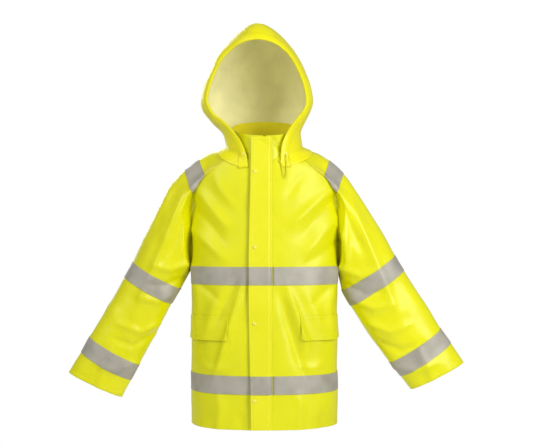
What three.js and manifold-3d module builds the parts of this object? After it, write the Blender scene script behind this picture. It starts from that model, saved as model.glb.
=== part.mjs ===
// Hooded high-visibility foul weather jacket, coated fabric, shown as it stands on a body.
// Millimetres. +Z up, front of the jacket faces -Y, the wearer's left is +X.
// Origin: centre of the neck opening, at the level of the shoulder seams.
import * as THREE from "three";
import { mergeVertices } from "three/addons/utils/BufferGeometryUtils.js";
import Module from "manifold-3d";

const wasm = await Module();
wasm.setup();

// ---------- driving dimensions ----------
const WALL = 2.5; // stand-in thickness of the coated fabric
const SEAM_GAP = 0.35; // between two pieces that are sewn or welded together
const HEM_Z = -780;
const BODY_HALF_WIDTH = 208;
const BODY_BACK_DEPTH = 150;
const FRONT_SLOPE = 0.065; // the centre front leans out this much for each mm down
const FRONT_TOP_Y = -100; // centre front at the collar's front edge
const FRONT_TOP_Z = 20;
const ARMPIT_Z = -345;
const NECK_HALF_WIDTH = 90;
const NECK_BACK_Y = 90;
const COLLAR_FRONT_BOTTOM_Z = -47;
const COLLAR_FRONT_TOP_Z = 28;
const COLLAR_BACK_BOTTOM_Z = -4;
const COLLAR_BACK_TOP_Z = 82;
const TAPE_WIDTH = 50;
const TAPE_THICKNESS = 0.8;
const CHEST_TAPE_Z = -361; // middle of the band
const HEM_TAPE_Z = -659;
const SHOULDER_TAPE_INNER = 186; // distance of the band's inner edge along its slanted normal
const SHOULDER_TAPE_NORMAL = { x: 0.935, z: -0.353 }; // the band leans inwards on its way down
const SHOULDER_PIVOT = { x: 185, z: -130 };
const SHOULDER_CAP_RADIUS = 112;
const SHOULDER_CAP_CLEARANCE = 1.2;
const ZIP_TOP_Z = 18;
const ZIP_BOTTOM_Z = -762;
const ZIP_TOOTH_WIDTH = 3;
const ZIP_SLIT = 1.6; // between the two rows of teeth, where the slider's web runs
const ZIP_TAPE_WIDTH = 14;
const ZIP_TAPE_THICKNESS = 0.8;
const ZIP_BOX_LENGTH = 14;
const ZIP_FRONT = 0.2; // the teeth start this far behind the centre front
const ZIP_BACK = 2.6;
const SLIDER_LENGTH = 15;
const SLIDER_CLEARANCE = 0.8; // beside the slider, along its whole run
const SLIDER_WIDTH = 11;
const SLIDER_PLATE_FRONT = -1.7;
const SLIDER_PLATE_BACK = -0.15;
const SLIDER_REAR_PLATE = 5.1;
const SLIDER_REAR_END = 6.5;
const SLIDER_WEB_WIDTH = 0.9;
const BAIL_WIDTH = 2.4;
const BAIL_FRONT = -3.4;
const PULLER_LENGTH = 32;
const PULLER_WIDTH = 8;
const PULLER_SLOT_WIDTH = 3.2;
const PULLER_SLOT_LENGTH = 8.4;
const PULLER_BAR = 1.6; // the bar that passes through the bail
const FLAP_FREE_X = -40;
const FLAP_SEAM_X = 22;
const FLAP_STAND_OFF = 5; // room for the zip, its slider and the snaps
const FLAP_THICKNESS = 2;
const FLAP_TOP_Z = 24;
const FLAP_BOTTOM_Z = -774;
const SNAP_X = -27;
const SNAP_TOP_Z = -72;
const SNAP_PITCH = 209.5;
const SNAP_COUNT = 4;
const SNAP_CAP_RADIUS = 6;
const SNAP_SHAFT_RADIUS = 1.8;
const POCKET_TOP_Z = -471;
const POCKET_FLAP_HEIGHT = 68;
const POCKET_INNER_X = 98;
const POCKET_OUTER_X = 204;
const POCKET_FLAP_THICKNESS = 2;
const POCKET_FLAP_GAP = 0.6;
const POCKET_MOUTH_TOP_Z = -479;
const POCKET_MOUTH_HEIGHT = 14;
const POCKET_BAG_BOTTOM_Z = -630;
const POCKET_BAG_DEPTH = 16;
const POCKET_BAG_WALL = 1.5;
const HOOD_TOP_Z = 354;
const HOOD_LEAN_X = -20; // the raised hood sits a little to the wearer's right
const HOOD_SEAM_RIGHT_X = -49;
const HOOD_SEAM_LEFT_X = 28;
const FACE_BAND_WIDTH = 25;
const FACE_BAND_BACK_Y = -40; // the band goes no further back than this at the cheeks
const HOOD_CLEARANCE = 2; // above the shoulders and round the collar
const CORD_DIAMETER = 3;
const EYELET_RADIUS = 5.5;
const EYELET_HOLE_RADIUS = 2.6;
const EYELET_X = 59;
const EYELET_Z = -24;
const LOOP_WIDTH = 60; // hanger loop
const LOOP_HEIGHT = 14;
const LOOP_DEPTH = 8;
const LOOP_STRAP = 1.6;
const FAR = 900; // past every piece, for cutting solids

const frontY = (z) => FRONT_TOP_Y - FRONT_SLOPE * (FRONT_TOP_Z - z);

// ---------- colours ----------
const YELLOW = 0xe1dc12;
const PALE_YELLOW = 0xefe848;
const TAPE_GREY = 0xb0aba0;
const DARK_YELLOW = 0xc9bd14;
const NICKEL = 0xb9b4a2;

const part = new THREE.Group();

function paint(color, roughness = 0.42, metalness = 0) {
  return new THREE.MeshStandardMaterial({ color, roughness, metalness });
}

// ---------- solids ----------
function solid(geometry) {
  const bare = geometry.index ? geometry.toNonIndexed() : geometry.clone();
  const points = new THREE.BufferGeometry();
  points.setAttribute("position", bare.getAttribute("position"));
  const merged = mergeVertices(points, 1e-3);
  const vertProperties = new Float32Array(merged.attributes.position.array);
  const triVerts = new Uint32Array(merged.index.array);
  const made = new wasm.Manifold(new wasm.Mesh({ numProp: 3, vertProperties, triVerts }));
  if (made.volume() > 0) return made;
  triVerts.reverse();
  return new wasm.Manifold(new wasm.Mesh({ numProp: 3, vertProperties, triVerts }));
}

function geometryOf(manifold) {
  const mesh = manifold.getMesh();
  const position = new Float32Array(mesh.numVert * 3);
  for (let i = 0; i < mesh.numVert; i += 1) {
    const start = i * mesh.numProp;
    position.set(mesh.vertProperties.subarray(start, start + 3), i * 3);
  }
  const geometry = new THREE.BufferGeometry();
  geometry.setAttribute("position", new THREE.BufferAttribute(position, 3));
  geometry.setIndex(new THREE.BufferAttribute(new Uint32Array(mesh.triVerts), 1));
  geometry.computeVertexNormals();
  return geometry;
}

function addPiece(name, shape, material, parent = part) {
  const geometry = shape.isBufferGeometry ? shape : geometryOf(largestBody(shape));
  const mesh = new THREE.Mesh(geometry, material);
  mesh.name = name;
  parent.add(mesh);
  return mesh;
}

// A cut can leave crumbs where two curved walls meet; the piece is the largest body.
function largestBody(manifold) {
  const bodies = manifold.decompose();
  return bodies.reduce((best, body) => (body.volume() > best.volume() ? body : best));
}

function box(x0, x1, y0, y1, z0, z1) {
  const geometry = new THREE.BoxGeometry(x1 - x0, y1 - y0, z1 - z0);
  geometry.translate((x0 + x1) / 2, (y0 + y1) / 2, (z0 + z1) / 2);
  return geometry;
}

const boxSolid = (...sides) => solid(box(...sides));

// Skins a list of closed rings, and closes both ends with a fan.
function loft(rings) {
  const count = rings[0].length;
  const points = rings.flat();
  const first = rings[0].reduce((sum, p) => sum.add(p), new THREE.Vector3()).divideScalar(count);
  const lastRing = rings[rings.length - 1];
  const last = lastRing.reduce((sum, p) => sum.add(p), new THREE.Vector3()).divideScalar(count);
  points.push(first, last);
  const faces = [];
  for (let ring = 0; ring < rings.length - 1; ring += 1) {
    for (let i = 0; i < count; i += 1) {
      const a = ring * count + i;
      const b = ring * count + ((i + 1) % count);
      faces.push(a, b, b + count, a, b + count, a + count);
    }
  }
  const end = (rings.length - 1) * count;
  for (let i = 0; i < count; i += 1) {
    const next = (i + 1) % count;
    faces.push(next, i, points.length - 2, end + i, end + next, points.length - 1);
  }
  const geometry = new THREE.BufferGeometry().setFromPoints(points);
  geometry.setIndex(faces);
  return solid(geometry);
}

const power = (value, exponent) => Math.sign(value) * Math.abs(value) ** exponent;

// A ring whose front and back halves may have different depths; it starts at the front.
function bodyRing({ z, halfWidth, front, back, squareness, centreX = 0, rise = 0 }, sides) {
  const ring = [];
  for (let i = 0; i < sides; i += 1) {
    const turn = (i / sides) * Math.PI * 2;
    const depth = Math.cos(turn) > 0 ? -front : back;
    const x = centreX + halfWidth * power(Math.sin(turn), 2 / squareness);
    const y = -depth * power(Math.cos(turn), 2 / squareness);
    ring.push(new THREE.Vector3(x, y, z + rise * y));
  }
  return ring;
}

// Reads a column of a table of stations at a height, straight from one station to the next.
function stationAt(stations, key, z) {
  const rows = [...stations].sort((a, b) => a.z - b.z);
  if (z <= rows[0].z) return rows[0][key];
  const top = rows.findIndex((row) => row.z >= z);
  if (top < 0) return rows[rows.length - 1][key];
  const low = rows[top - 1];
  const high = rows[top];
  const share = (z - low.z) / (high.z - low.z);
  return THREE.MathUtils.lerp(low[key], high[key], share);
}

// ---------- the body of the jacket ----------
const TORSO_SIDES = 32;
const TORSO_STATIONS = [
  { z: HEM_Z, halfWidth: BODY_HALF_WIDTH, back: BODY_BACK_DEPTH - 12, squareness: 2.4 },
  { z: -560, halfWidth: BODY_HALF_WIDTH, back: BODY_BACK_DEPTH - 4, squareness: 2.4 },
  { z: ARMPIT_Z, halfWidth: BODY_HALF_WIDTH, back: BODY_BACK_DEPTH, squareness: 2.4 },
  { z: -220, halfWidth: BODY_HALF_WIDTH, back: BODY_BACK_DEPTH - 4, squareness: 2.4 },
  { z: -150, halfWidth: BODY_HALF_WIDTH + 2, back: BODY_BACK_DEPTH - 12, squareness: 2.3 },
  { z: -100, halfWidth: BODY_HALF_WIDTH + 4, back: BODY_BACK_DEPTH - 22, squareness: 2.2 },
  { z: -63, halfWidth: BODY_HALF_WIDTH + 3, back: BODY_BACK_DEPTH - 30, squareness: 2.1 },
  { z: -46, halfWidth: 199, back: BODY_BACK_DEPTH - 34, squareness: 2 },
  { z: -29, halfWidth: 176, back: BODY_BACK_DEPTH - 38, squareness: 2 },
  { z: -14, halfWidth: 146, back: BODY_BACK_DEPTH - 43, squareness: 2 },
  { z: -4, halfWidth: 122, back: BODY_BACK_DEPTH - 47, squareness: 2 },
  { z: 3, halfWidth: 102, back: BODY_BACK_DEPTH - 51, squareness: 2 },
];

// The front wall recedes to the neck above the collar's front seam.
function torsoFront(z) {
  const above = z - COLLAR_FRONT_BOTTOM_Z;
  if (above <= 0) return frontY(z);
  return frontY(COLLAR_FRONT_BOTTOM_Z) + 0.32 * above + 0.006 * above ** 2;
}

function torso(offset, hemDrop = 0) {
  const rings = TORSO_STATIONS.map((station, index) => {
    const top = index === TORSO_STATIONS.length - 1;
    const z = station.z + (index === 0 ? -hemDrop : 0) + (top ? offset : 0);
    return bodyRing(
      {
        z,
        halfWidth: station.halfWidth + offset,
        front: torsoFront(station.z) - (index === 0 ? FRONT_SLOPE * hemDrop : 0) - offset,
        back: station.back + offset,
        squareness: station.squareness,
      },
      TORSO_SIDES,
    );
  });
  return loft(rings);
}

// ---------- the arms ----------
const ARM_SIDES = 20;
// across: half size in the front view; deep: half size front to back; tilt: of the section.
const ARM_STATIONS = {
  right: [
    { x: -150, y: 2, z: -118, tilt: 62, across: 84, deep: 78 },
    { x: -185, y: 2, z: -135, tilt: 50, across: 92, deep: 76 },
    { x: -207, y: 2, z: -171, tilt: 35, across: 88, deep: 73 },
    { x: -235, y: 2, z: -222, tilt: 29, across: 82, deep: 70 },
    { x: -307, y: 0, z: -363, tilt: 29, across: 78, deep: 64 },
    { x: -395, y: -8, z: -520, tilt: 28, across: 79, deep: 52 },
    { x: -480.5, y: -18, z: -672, tilt: 25, across: 83, deep: 42 },
  ],
  left: [
    { x: 142, y: 2, z: -118, tilt: 62, across: 82, deep: 78 },
    { x: 171, y: 2, z: -135, tilt: 50, across: 86, deep: 76 },
    { x: 197, y: 2, z: -173, tilt: 36, across: 82, deep: 73 },
    { x: 228, y: 2, z: -225, tilt: 32, across: 84, deep: 70 },
    { x: 297, y: 0, z: -356, tilt: 32, across: 90, deep: 64 },
    { x: 388, y: -8, z: -504, tilt: 31, across: 90, deep: 52 },
    { x: 489.5, y: -18, z: -648, tilt: 27, across: 84, deep: 42 },
  ],
};

const sign = (side) => (side === "left" ? 1 : -1);

function armRing(side, station, offset, extra = 0) {
  const tilt = THREE.MathUtils.degToRad(station.tilt);
  const out = new THREE.Vector3(sign(side) * Math.cos(tilt), 0, Math.sin(tilt));
  const along = new THREE.Vector3(sign(side) * Math.sin(tilt), 0, -Math.cos(tilt));
  const ring = [];
  for (let i = 0; i < ARM_SIDES; i += 1) {
    const turn = (i / ARM_SIDES) * Math.PI * 2 * -sign(side);
    const p = new THREE.Vector3(station.x, station.y, station.z);
    p.addScaledVector(out, (station.across + offset) * power(Math.sin(turn), 0.9));
    p.y -= (station.deep + offset) * power(Math.cos(turn), 0.9);
    p.addScaledVector(along, extra);
    ring.push(p);
  }
  return ring;
}

function arm(side, offset, cuffDrop = 0) {
  const stations = ARM_STATIONS[side];
  const rings = stations.map((station) => armRing(side, station, offset));
  if (cuffDrop) rings.push(armRing(side, stations[stations.length - 1], offset, cuffDrop));
  return loft(rings.reverse());
}

// Everything of the shoulder and sleeve lies outside this line from the neck to the armpit and down.
const SLEEVE_REGION_FLOOR = -730;
const RAGLAN_LINE = [
  [84, 60],
  [97, -22],
  [165, -80],
  [201, -136],
  [211.5, ARMPIT_Z],
  [212.5, ARMPIT_Z - 59],
  [225, ARMPIT_Z - 96],
  [330, SLEEVE_REGION_FLOOR],
];

function sleeveRegion(side, shift) {
  const s = sign(side);
  const outline = new THREE.Shape();
  RAGLAN_LINE.forEach(([x, z], i) => {
    const point = [s * (x + shift), z + shift * 0.6];
    if (i) outline.lineTo(...point);
    else outline.moveTo(...point);
  });
  outline.lineTo(s * FAR, SLEEVE_REGION_FLOOR);
  outline.lineTo(s * FAR, 60);
  const geometry = new THREE.ExtrudeGeometry(outline, { depth: 2 * FAR, bevelEnabled: false });
  geometry.rotateX(Math.PI / 2);
  geometry.translate(0, FAR, 0);
  return solid(geometry);
}

// A slanted oval plug where the neck is.
function collarRings(offset, drop, lift) {
  const bottomSlope = (COLLAR_BACK_BOTTOM_Z - COLLAR_FRONT_BOTTOM_Z) / (NECK_BACK_Y - FRONT_TOP_Y);
  const topSlope = (COLLAR_BACK_TOP_Z - COLLAR_FRONT_TOP_Z) / (NECK_BACK_Y - FRONT_TOP_Y);
  const levels = [
    { frontZ: COLLAR_FRONT_BOTTOM_Z - drop, slope: bottomSlope },
    { frontZ: COLLAR_FRONT_TOP_Z + lift, slope: topSlope },
  ];
  return levels.map(({ frontZ, slope }) => {
    const front = frontY(frontZ);
    const z = frontZ - slope * front;
    return bodyRing(
      {
        z,
        halfWidth: NECK_HALF_WIDTH + offset,
        front: front - offset,
        back: NECK_BACK_Y + offset,
        squareness: 2.2,
        rise: slope,
      },
      36,
    );
  });
}

const outerBody = (offset) => torso(offset).add(arm("right", offset)).add(arm("left", offset));

const neckCut = loft(collarRings(SEAM_GAP, SEAM_GAP, 60));
const innerBody = torso(-WALL, 20).add(arm("right", -WALL, 30)).add(arm("left", -WALL, 30));
const bodySkin = outerBody(0);
const shell = bodySkin.subtract(innerBody).subtract(neckCut);
const torsoShell = shell.subtract(sleeveRegion("right", 0)).subtract(sleeveRegion("left", 0));

const pocketMouth = (side) => {
  const s = sign(side);
  const x0 = s * (POCKET_INNER_X + 14);
  const x1 = s * (POCKET_OUTER_X - 14);
  return boxSolid(
    Math.min(x0, x1),
    Math.max(x0, x1),
    -FAR,
    -20,
    POCKET_MOUTH_TOP_Z - POCKET_MOUTH_HEIGHT,
    POCKET_MOUTH_TOP_Z,
  );
};

function frontPanel(side) {
  const s = sign(side);
  const edge = ZIP_TOOTH_WIDTH + ZIP_SLIT / 2 + SEAM_GAP;
  const half = s > 0 ? [edge, FAR] : [-FAR, -edge];
  return torsoShell
    .intersect(boxSolid(...half, -FAR, -SEAM_GAP / 2, -FAR, FAR))
    .subtract(pocketMouth(side));
}

function addBodyPanels() {
  addPiece("front_panel_right", frontPanel("right"), paint(YELLOW));
  addPiece("front_panel_left", frontPanel("left"), paint(YELLOW));
  const back = torsoShell.intersect(boxSolid(-FAR, FAR, SEAM_GAP / 2, FAR, -FAR, FAR));
  addPiece("back_panel", back, paint(YELLOW));
}

function addCollar() {
  const ring = loft(collarRings(0, 0, 0)).subtract(loft(collarRings(-WALL, 30, 30)));
  const edge = ZIP_TOOTH_WIDTH + ZIP_SLIT / 2 + SEAM_GAP;
  const opening = boxSolid(-edge, edge, -FAR, 0, -FAR, FAR);
  addPiece("collar", ring.subtract(opening), paint(YELLOW));
}

// ---------- raglan shoulders and sleeves ----------
function barrel(radius, side) {
  const geometry = new THREE.CylinderGeometry(radius, radius, 2 * FAR, 64);
  geometry.translate(sign(side) * SHOULDER_PIVOT.x, 0, SHOULDER_PIVOT.z);
  return solid(geometry);
}

function addSleeve(side) {
  const s = sign(side);
  const whole = shell.intersect(sleeveRegion(side, SEAM_GAP));
  const medial = (gap) => {
    const edge = s * (SHOULDER_PIVOT.x + gap);
    const span = s > 0 ? [-FAR, edge] : [edge, FAR];
    return boxSolid(...span, -FAR, FAR, SHOULDER_PIVOT.z, FAR);
  };
  const cap = whole.intersect(barrel(SHOULDER_CAP_RADIUS, side).add(medial(0)));
  const open = SHOULDER_CAP_RADIUS + SHOULDER_CAP_CLEARANCE;
  const sleeve = whole.subtract(barrel(open, side).add(medial(SHOULDER_CAP_CLEARANCE)));
  addPiece(`raglan_shoulder_${side}`, cap, paint(YELLOW));
  addPiece(`sleeve_${side}`, sleeve, paint(YELLOW));
}

addBodyPanels();
addCollar();
["right", "left"].forEach(addSleeve);

// ---------- reflective tapes ----------
const TAPE_NEAR = SEAM_GAP;
const TAPE_FAR = SEAM_GAP + TAPE_THICKNESS;

function addTorsoTape(name, centreZ) {
  const skin = outerBody(TAPE_FAR).subtract(outerBody(TAPE_NEAR));
  const half = TAPE_WIDTH / 2;
  let band = skin.intersect(boxSolid(-FAR, FAR, -FAR, FAR, centreZ - half, centreZ + half));
  const away = -1;
  band = band.subtract(sleeveRegion("right", away)).subtract(sleeveRegion("left", away));
  const spans = {
    right: [-FAR, -(SLIDER_WIDTH / 2 + SLIDER_CLEARANCE), -FAR, -SEAM_GAP / 2],
    left: [FLAP_SEAM_X + 3, FAR, -FAR, -SEAM_GAP / 2],
    back: [-FAR, FAR, SEAM_GAP / 2, FAR],
  };
  for (const [place, span] of Object.entries(spans)) {
    addPiece(`${name}_${place}`, band.intersect(boxSolid(...span, -FAR, FAR)), paint(TAPE_GREY));
  }
}

// The sleeve's straight stretch, from the upper arm station to the cuff.
function sleeveAxis(side) {
  const stations = ARM_STATIONS[side];
  const upper = stations[stations.length - 3];
  const cuff = stations[stations.length - 1];
  const start = new THREE.Vector3(upper.x, upper.y, upper.z);
  const direction = new THREE.Vector3(cuff.x, cuff.y, cuff.z).sub(start).normalize();
  return { start, direction };
}

function slabAcross(centre, direction, thickness) {
  const geometry = new THREE.BoxGeometry(thickness, 2 * FAR, 2 * FAR);
  const turn = new THREE.Quaternion().setFromUnitVectors(new THREE.Vector3(1, 0, 0), direction);
  geometry.applyQuaternion(turn);
  geometry.translate(centre.x, centre.y, centre.z);
  return solid(geometry);
}

const SLEEVE_TAPE_STEPS = { upper: 24, cuff: 268 }; // from the upper arm station, down the sleeve

function addSleeveTapes(side) {
  const { start, direction } = sleeveAxis(side);
  const flat = new THREE.Vector3(direction.x, 0, direction.z).normalize();
  const skin = arm(side, TAPE_FAR).subtract(arm(side, TAPE_NEAR));
  for (const [place, step] of Object.entries(SLEEVE_TAPE_STEPS)) {
    const centre = start.clone().addScaledVector(direction, step);
    const band = skin.intersect(slabAcross(centre, flat, TAPE_WIDTH));
    addPiece(`sleeve_tape_${place}_${side}`, band, paint(TAPE_GREY));
  }
}

// A band front to back over the raglan shoulder, ending at the raglan seams.
function addShoulderTape(side) {
  const s = sign(side);
  const normal = new THREE.Vector3(s * SHOULDER_TAPE_NORMAL.x, 0, SHOULDER_TAPE_NORMAL.z);
  const middle = normal.clone().multiplyScalar(SHOULDER_TAPE_INNER + TAPE_WIDTH / 2);
  const band = outerBody(TAPE_FAR)
    .subtract(outerBody(TAPE_NEAR))
    .intersect(slabAcross(middle, normal, TAPE_WIDTH))
    .intersect(sleeveRegion(side, SEAM_GAP + 1))
    .intersect(boxSolid(-FAR, FAR, -FAR, FAR, SHOULDER_PIVOT.z - 15, FAR));
  addPiece(`shoulder_tape_${side}`, band, paint(TAPE_GREY));
}

// ---------- the front opening, drawn flat and then leaned with the centre front ----------
const lean = Math.atan(FRONT_SLOPE);
const opening = new THREE.Group(); // local +Z up the centre front, local -Y straight out
opening.position.set(0, frontY(0), 0);
opening.rotation.x = -lean;
part.add(opening);

const along = (z) => z / Math.cos(lean); // a level, measured up the leaning line

function addZip() {
  const top = along(ZIP_TOP_Z);
  const bottom = along(ZIP_BOTTOM_Z);
  const slit = ZIP_SLIT / 2;
  const tooth = slit + ZIP_TOOTH_WIDTH;
  const tapeFront = WALL + 1.4; // the panels curve back a little beside the zip
  const tapeY = [tapeFront, tapeFront + ZIP_TAPE_THICKNESS];
  for (const side of ["right", "left"]) {
    const s = sign(side);
    const span = (a, b) => [Math.min(s * a, s * b), Math.max(s * a, s * b)];
    const teeth = boxSolid(...span(slit, tooth), ZIP_FRONT, ZIP_BACK, bottom + ZIP_BOX_LENGTH, top);
    addPiece(`zip_teeth_${side}`, teeth, paint(DARK_YELLOW), opening);
    const tape = boxSolid(...span(slit, slit + ZIP_TAPE_WIDTH), ...tapeY, bottom, top + 4);
    addPiece(`zip_tape_${side}`, tape, paint(DARK_YELLOW), opening);
  }
  const boxEnd = bottom + ZIP_BOX_LENGTH - SEAM_GAP;
  const bottomBox = boxSolid(-tooth, tooth, ZIP_FRONT, ZIP_BACK - 0.1, bottom, boxEnd);
  addPiece("zip_bottom_box", bottomBox, paint(DARK_YELLOW), opening);
}

// Two plates joined by a thin web that runs in the slit between the teeth.
function addSlider() {
  const top = along(ZIP_TOP_Z) - 2;
  const bottom = top - SLIDER_LENGTH;
  const half = SLIDER_WIDTH / 2;
  const web = SLIDER_WEB_WIDTH / 2;
  const bailHalf = BAIL_WIDTH / 2;
  const bail = boxSolid(-bailHalf, bailHalf, BAIL_FRONT, SLIDER_PLATE_FRONT + 0.1, top - 9, top - 3);
  const hole = boxSolid(-3, 3, -2.8, -1.9, top - 7.2, top - 4.6);
  const body = boxSolid(-half, half, SLIDER_PLATE_FRONT, SLIDER_PLATE_BACK, bottom, top)
    .add(boxSolid(-web, web, SLIDER_PLATE_BACK - 0.1, SLIDER_REAR_PLATE + 0.1, bottom, top))
    .add(boxSolid(-half, half, SLIDER_REAR_PLATE, SLIDER_REAR_END, bottom, top))
    .add(bail.subtract(hole));
  addPiece("zip_slider", body, paint(NICKEL, 0.35, 0.8), opening);
  const ringTop = top - 4.9;
  const ringHalf = PULLER_WIDTH / 2;
  const slotHalf = PULLER_SLOT_WIDTH / 2;
  const slotTop = ringTop - PULLER_BAR;
  const ring = boxSolid(-ringHalf, ringHalf, -2.7, -2.0, ringTop - PULLER_LENGTH, ringTop);
  const gap = boxSolid(-slotHalf, slotHalf, -5, 0, slotTop - PULLER_SLOT_LENGTH, slotTop);
  addPiece("zip_puller", ring.subtract(gap), paint(NICKEL, 0.35, 0.8), opening);
}

const snapLevels = [];
for (let i = 0; i < SNAP_COUNT; i += 1) snapLevels.push(along(SNAP_TOP_Z - i * SNAP_PITCH));
const flapBack = -FLAP_STAND_OFF;
const flapFront = flapBack - FLAP_THICKNESS;

function addStormFlap() {
  const levels = [along(FLAP_BOTTOM_Z), along(FLAP_TOP_Z)];
  let flap = solid(box(FLAP_FREE_X, FLAP_SEAM_X, flapFront, flapBack, ...levels));
  flap = flap.add(solid(box(FLAP_SEAM_X - 4, FLAP_SEAM_X, flapBack - 0.5, 0.2, ...levels)));
  for (const z of snapLevels) {
    const radius = SNAP_SHAFT_RADIUS + 0.3;
    const hole = new THREE.CylinderGeometry(radius, radius, 20, 12);
    hole.translate(SNAP_X, flapBack, z);
    flap = flap.subtract(solid(hole));
  }
  addPiece("storm_flap", flap, paint(PALE_YELLOW), opening);
  for (const [name, centre] of [["chest", CHEST_TAPE_Z], ["hem", HEM_TAPE_Z]]) {
    const z = along(centre);
    const half = TAPE_WIDTH / 2;
    const y = [flapFront - TAPE_FAR, flapFront - TAPE_NEAR];
    const strip = solid(box(FLAP_FREE_X, FLAP_SEAM_X, ...y, z - half, z + half));
    addPiece(`${name}_tape_flap`, strip, paint(TAPE_GREY), opening);
  }
}

// Profiles are turned round local Y: the first number is the radius, the second the place along -Y.
function turned(profile, { x, y = 0, z, yaw = 0, sides = 10 }) {
  const points = profile.map(([radius, out]) => new THREE.Vector2(radius, out));
  const geometry = new THREE.LatheGeometry(points, sides);
  geometry.rotateX(Math.PI);
  geometry.rotateZ(yaw);
  geometry.translate(x, y, z);
  return solid(geometry);
}

function addSnaps() {
  const face = FLAP_STAND_OFF + FLAP_THICKNESS + SEAM_GAP; // outwards is positive here
  const cap = [
    [0, face + 2.6],
    [SNAP_CAP_RADIUS - 2.4, face + 2.2],
    [SNAP_CAP_RADIUS - 0.5, face + 1.2],
    [SNAP_CAP_RADIUS, face],
    [SNAP_SHAFT_RADIUS, face],
    [SNAP_SHAFT_RADIUS, FLAP_STAND_OFF - SEAM_GAP],
    [SNAP_CAP_RADIUS - 1, FLAP_STAND_OFF - SEAM_GAP],
    [SNAP_CAP_RADIUS - 1, FLAP_STAND_OFF - 2.6],
    [2.6, FLAP_STAND_OFF - 2.6],
    [2.6, FLAP_STAND_OFF - 1.4],
    [0, FLAP_STAND_OFF - 1.4],
  ];
  const stud = [
    [0, FLAP_STAND_OFF - 1.8],
    [1.9, FLAP_STAND_OFF - 1.9],
    [2.1, FLAP_STAND_OFF - 2.4],
    [1.7, 1.6],
    [SNAP_CAP_RADIUS - 1, 1.4],
    [SNAP_CAP_RADIUS - 1, -0.4],
    [0, -0.4],
  ];
  snapLevels.forEach((z, i) => {
    addPiece(`snap_cap_${i + 1}`, turned(cap, { x: SNAP_X, z }), paint(PALE_YELLOW), opening);
    addPiece(`snap_stud_${i + 1}`, turned(stud, { x: SNAP_X, z }), paint(NICKEL, 0.35, 0.8), opening);
  });
}

// ---------- pockets ----------
function pocketSpan(side, inset = 0) {
  const s = sign(side);
  const ends = [s * (POCKET_INNER_X + inset), s * (POCKET_OUTER_X - inset)];
  return [Math.min(...ends), Math.max(...ends)];
}

function addPocketFlap(side) {
  const skin = torso(POCKET_FLAP_GAP + POCKET_FLAP_THICKNESS).subtract(torso(POCKET_FLAP_GAP));
  const levels = [POCKET_TOP_Z - POCKET_FLAP_HEIGHT, POCKET_TOP_Z];
  const flap = skin.intersect(boxSolid(...pocketSpan(side), -FAR, -12, ...levels));
  addPiece(`pocket_flap_${side}`, flap, paint(YELLOW));
}

// A pouch behind the front panel, whose mouth faces the slit in the panel.
function addPocketBag(side) {
  const near = -(WALL + SEAM_GAP);
  const far = near - POCKET_BAG_DEPTH;
  const w = POCKET_BAG_WALL;
  const top = POCKET_TOP_Z + 6;
  const bottom = POCKET_BAG_BOTTOM_Z;
  const outer = torso(near)
    .subtract(torso(far))
    .intersect(boxSolid(...pocketSpan(side, 4), -FAR, -20, bottom, top));
  const inner = torso(near - w)
    .subtract(torso(far + w))
    .intersect(boxSolid(...pocketSpan(side, 4 + w), -FAR, -20 - w, bottom + w, top - w));
  const bag = outer.subtract(inner);
  const mouth = torso(2).subtract(torso(near - w - 1)).intersect(pocketMouth(side));
  addPiece(`pocket_bag_${side}`, bag.subtract(mouth), paint(DARK_YELLOW));
}

// ---------- the hood ----------
const HOOD_SIDES = 28;
const HOOD_STATIONS = [
  { z: -64, halfWidth: 112, front: -112, back: 98, centreX: 0 },
  { z: 5, halfWidth: 109, front: -115, back: 101, centreX: -2 },
  { z: 35, halfWidth: 111, front: -118, back: 113, centreX: -7 },
  { z: 74, halfWidth: 134, front: -123, back: 135, centreX: -18 },
  { z: 108, halfWidth: 155, front: -126, back: 149, centreX: -22 },
  { z: 130, halfWidth: 161, front: -126, back: 154, centreX: -22 },
  { z: 177, halfWidth: 153, front: -122, back: 154, centreX: -21 },
  { z: 211, halfWidth: 139, front: -116, back: 145, centreX: -20 },
  { z: 246, halfWidth: 122, front: -108, back: 129, centreX: -20 },
  { z: 280, halfWidth: 100, front: -98, back: 106, centreX: -19 },
  { z: 314, halfWidth: 70, front: -82, back: 74, centreX: -19 },
  { z: 336, halfWidth: 43, front: -63, back: 44, centreX: -19 },
  { z: HOOD_TOP_Z - 5, halfWidth: 20, front: -42, back: 18, centreX: -19 },
];

// Half width and middle of the face opening at each level, from the chin up.
const FACE_STATIONS = [
  { z: -70, half: 44, centre: 0 },
  { z: -30, half: 47, centre: -2 },
  { z: 0, half: 54, centre: -6 },
  { z: 25, half: 66, centre: -9 },
  { z: 50, half: 85, centre: -13 },
  { z: 80, half: 113, centre: -18 },
  { z: 100, half: 131, centre: -21 },
  { z: 125, half: 141, centre: -22 },
  { z: 150, half: 140, centre: -22 },
  { z: 200, half: 125, centre: -21 },
  { z: 245, half: 101, centre: -20 },
  { z: 272, half: 76, centre: -20 },
  { z: 290, half: 46, centre: -20 },
  { z: 298, half: 0, centre: -20 },
];

function hoodDome(offset) {
  const rings = HOOD_STATIONS.map((station, index) => {
    const top = index === HOOD_STATIONS.length - 1;
    return bodyRing(
      {
        z: station.z + (top ? offset : 0) + (index === 0 && offset < 0 ? -20 : 0),
        halfWidth: station.halfWidth + offset,
        front: station.front - offset,
        back: station.back + offset,
        squareness: 2.15,
        centreX: station.centreX,
      },
      HOOD_SIDES,
    );
  });
  return loft(rings);
}

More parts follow.
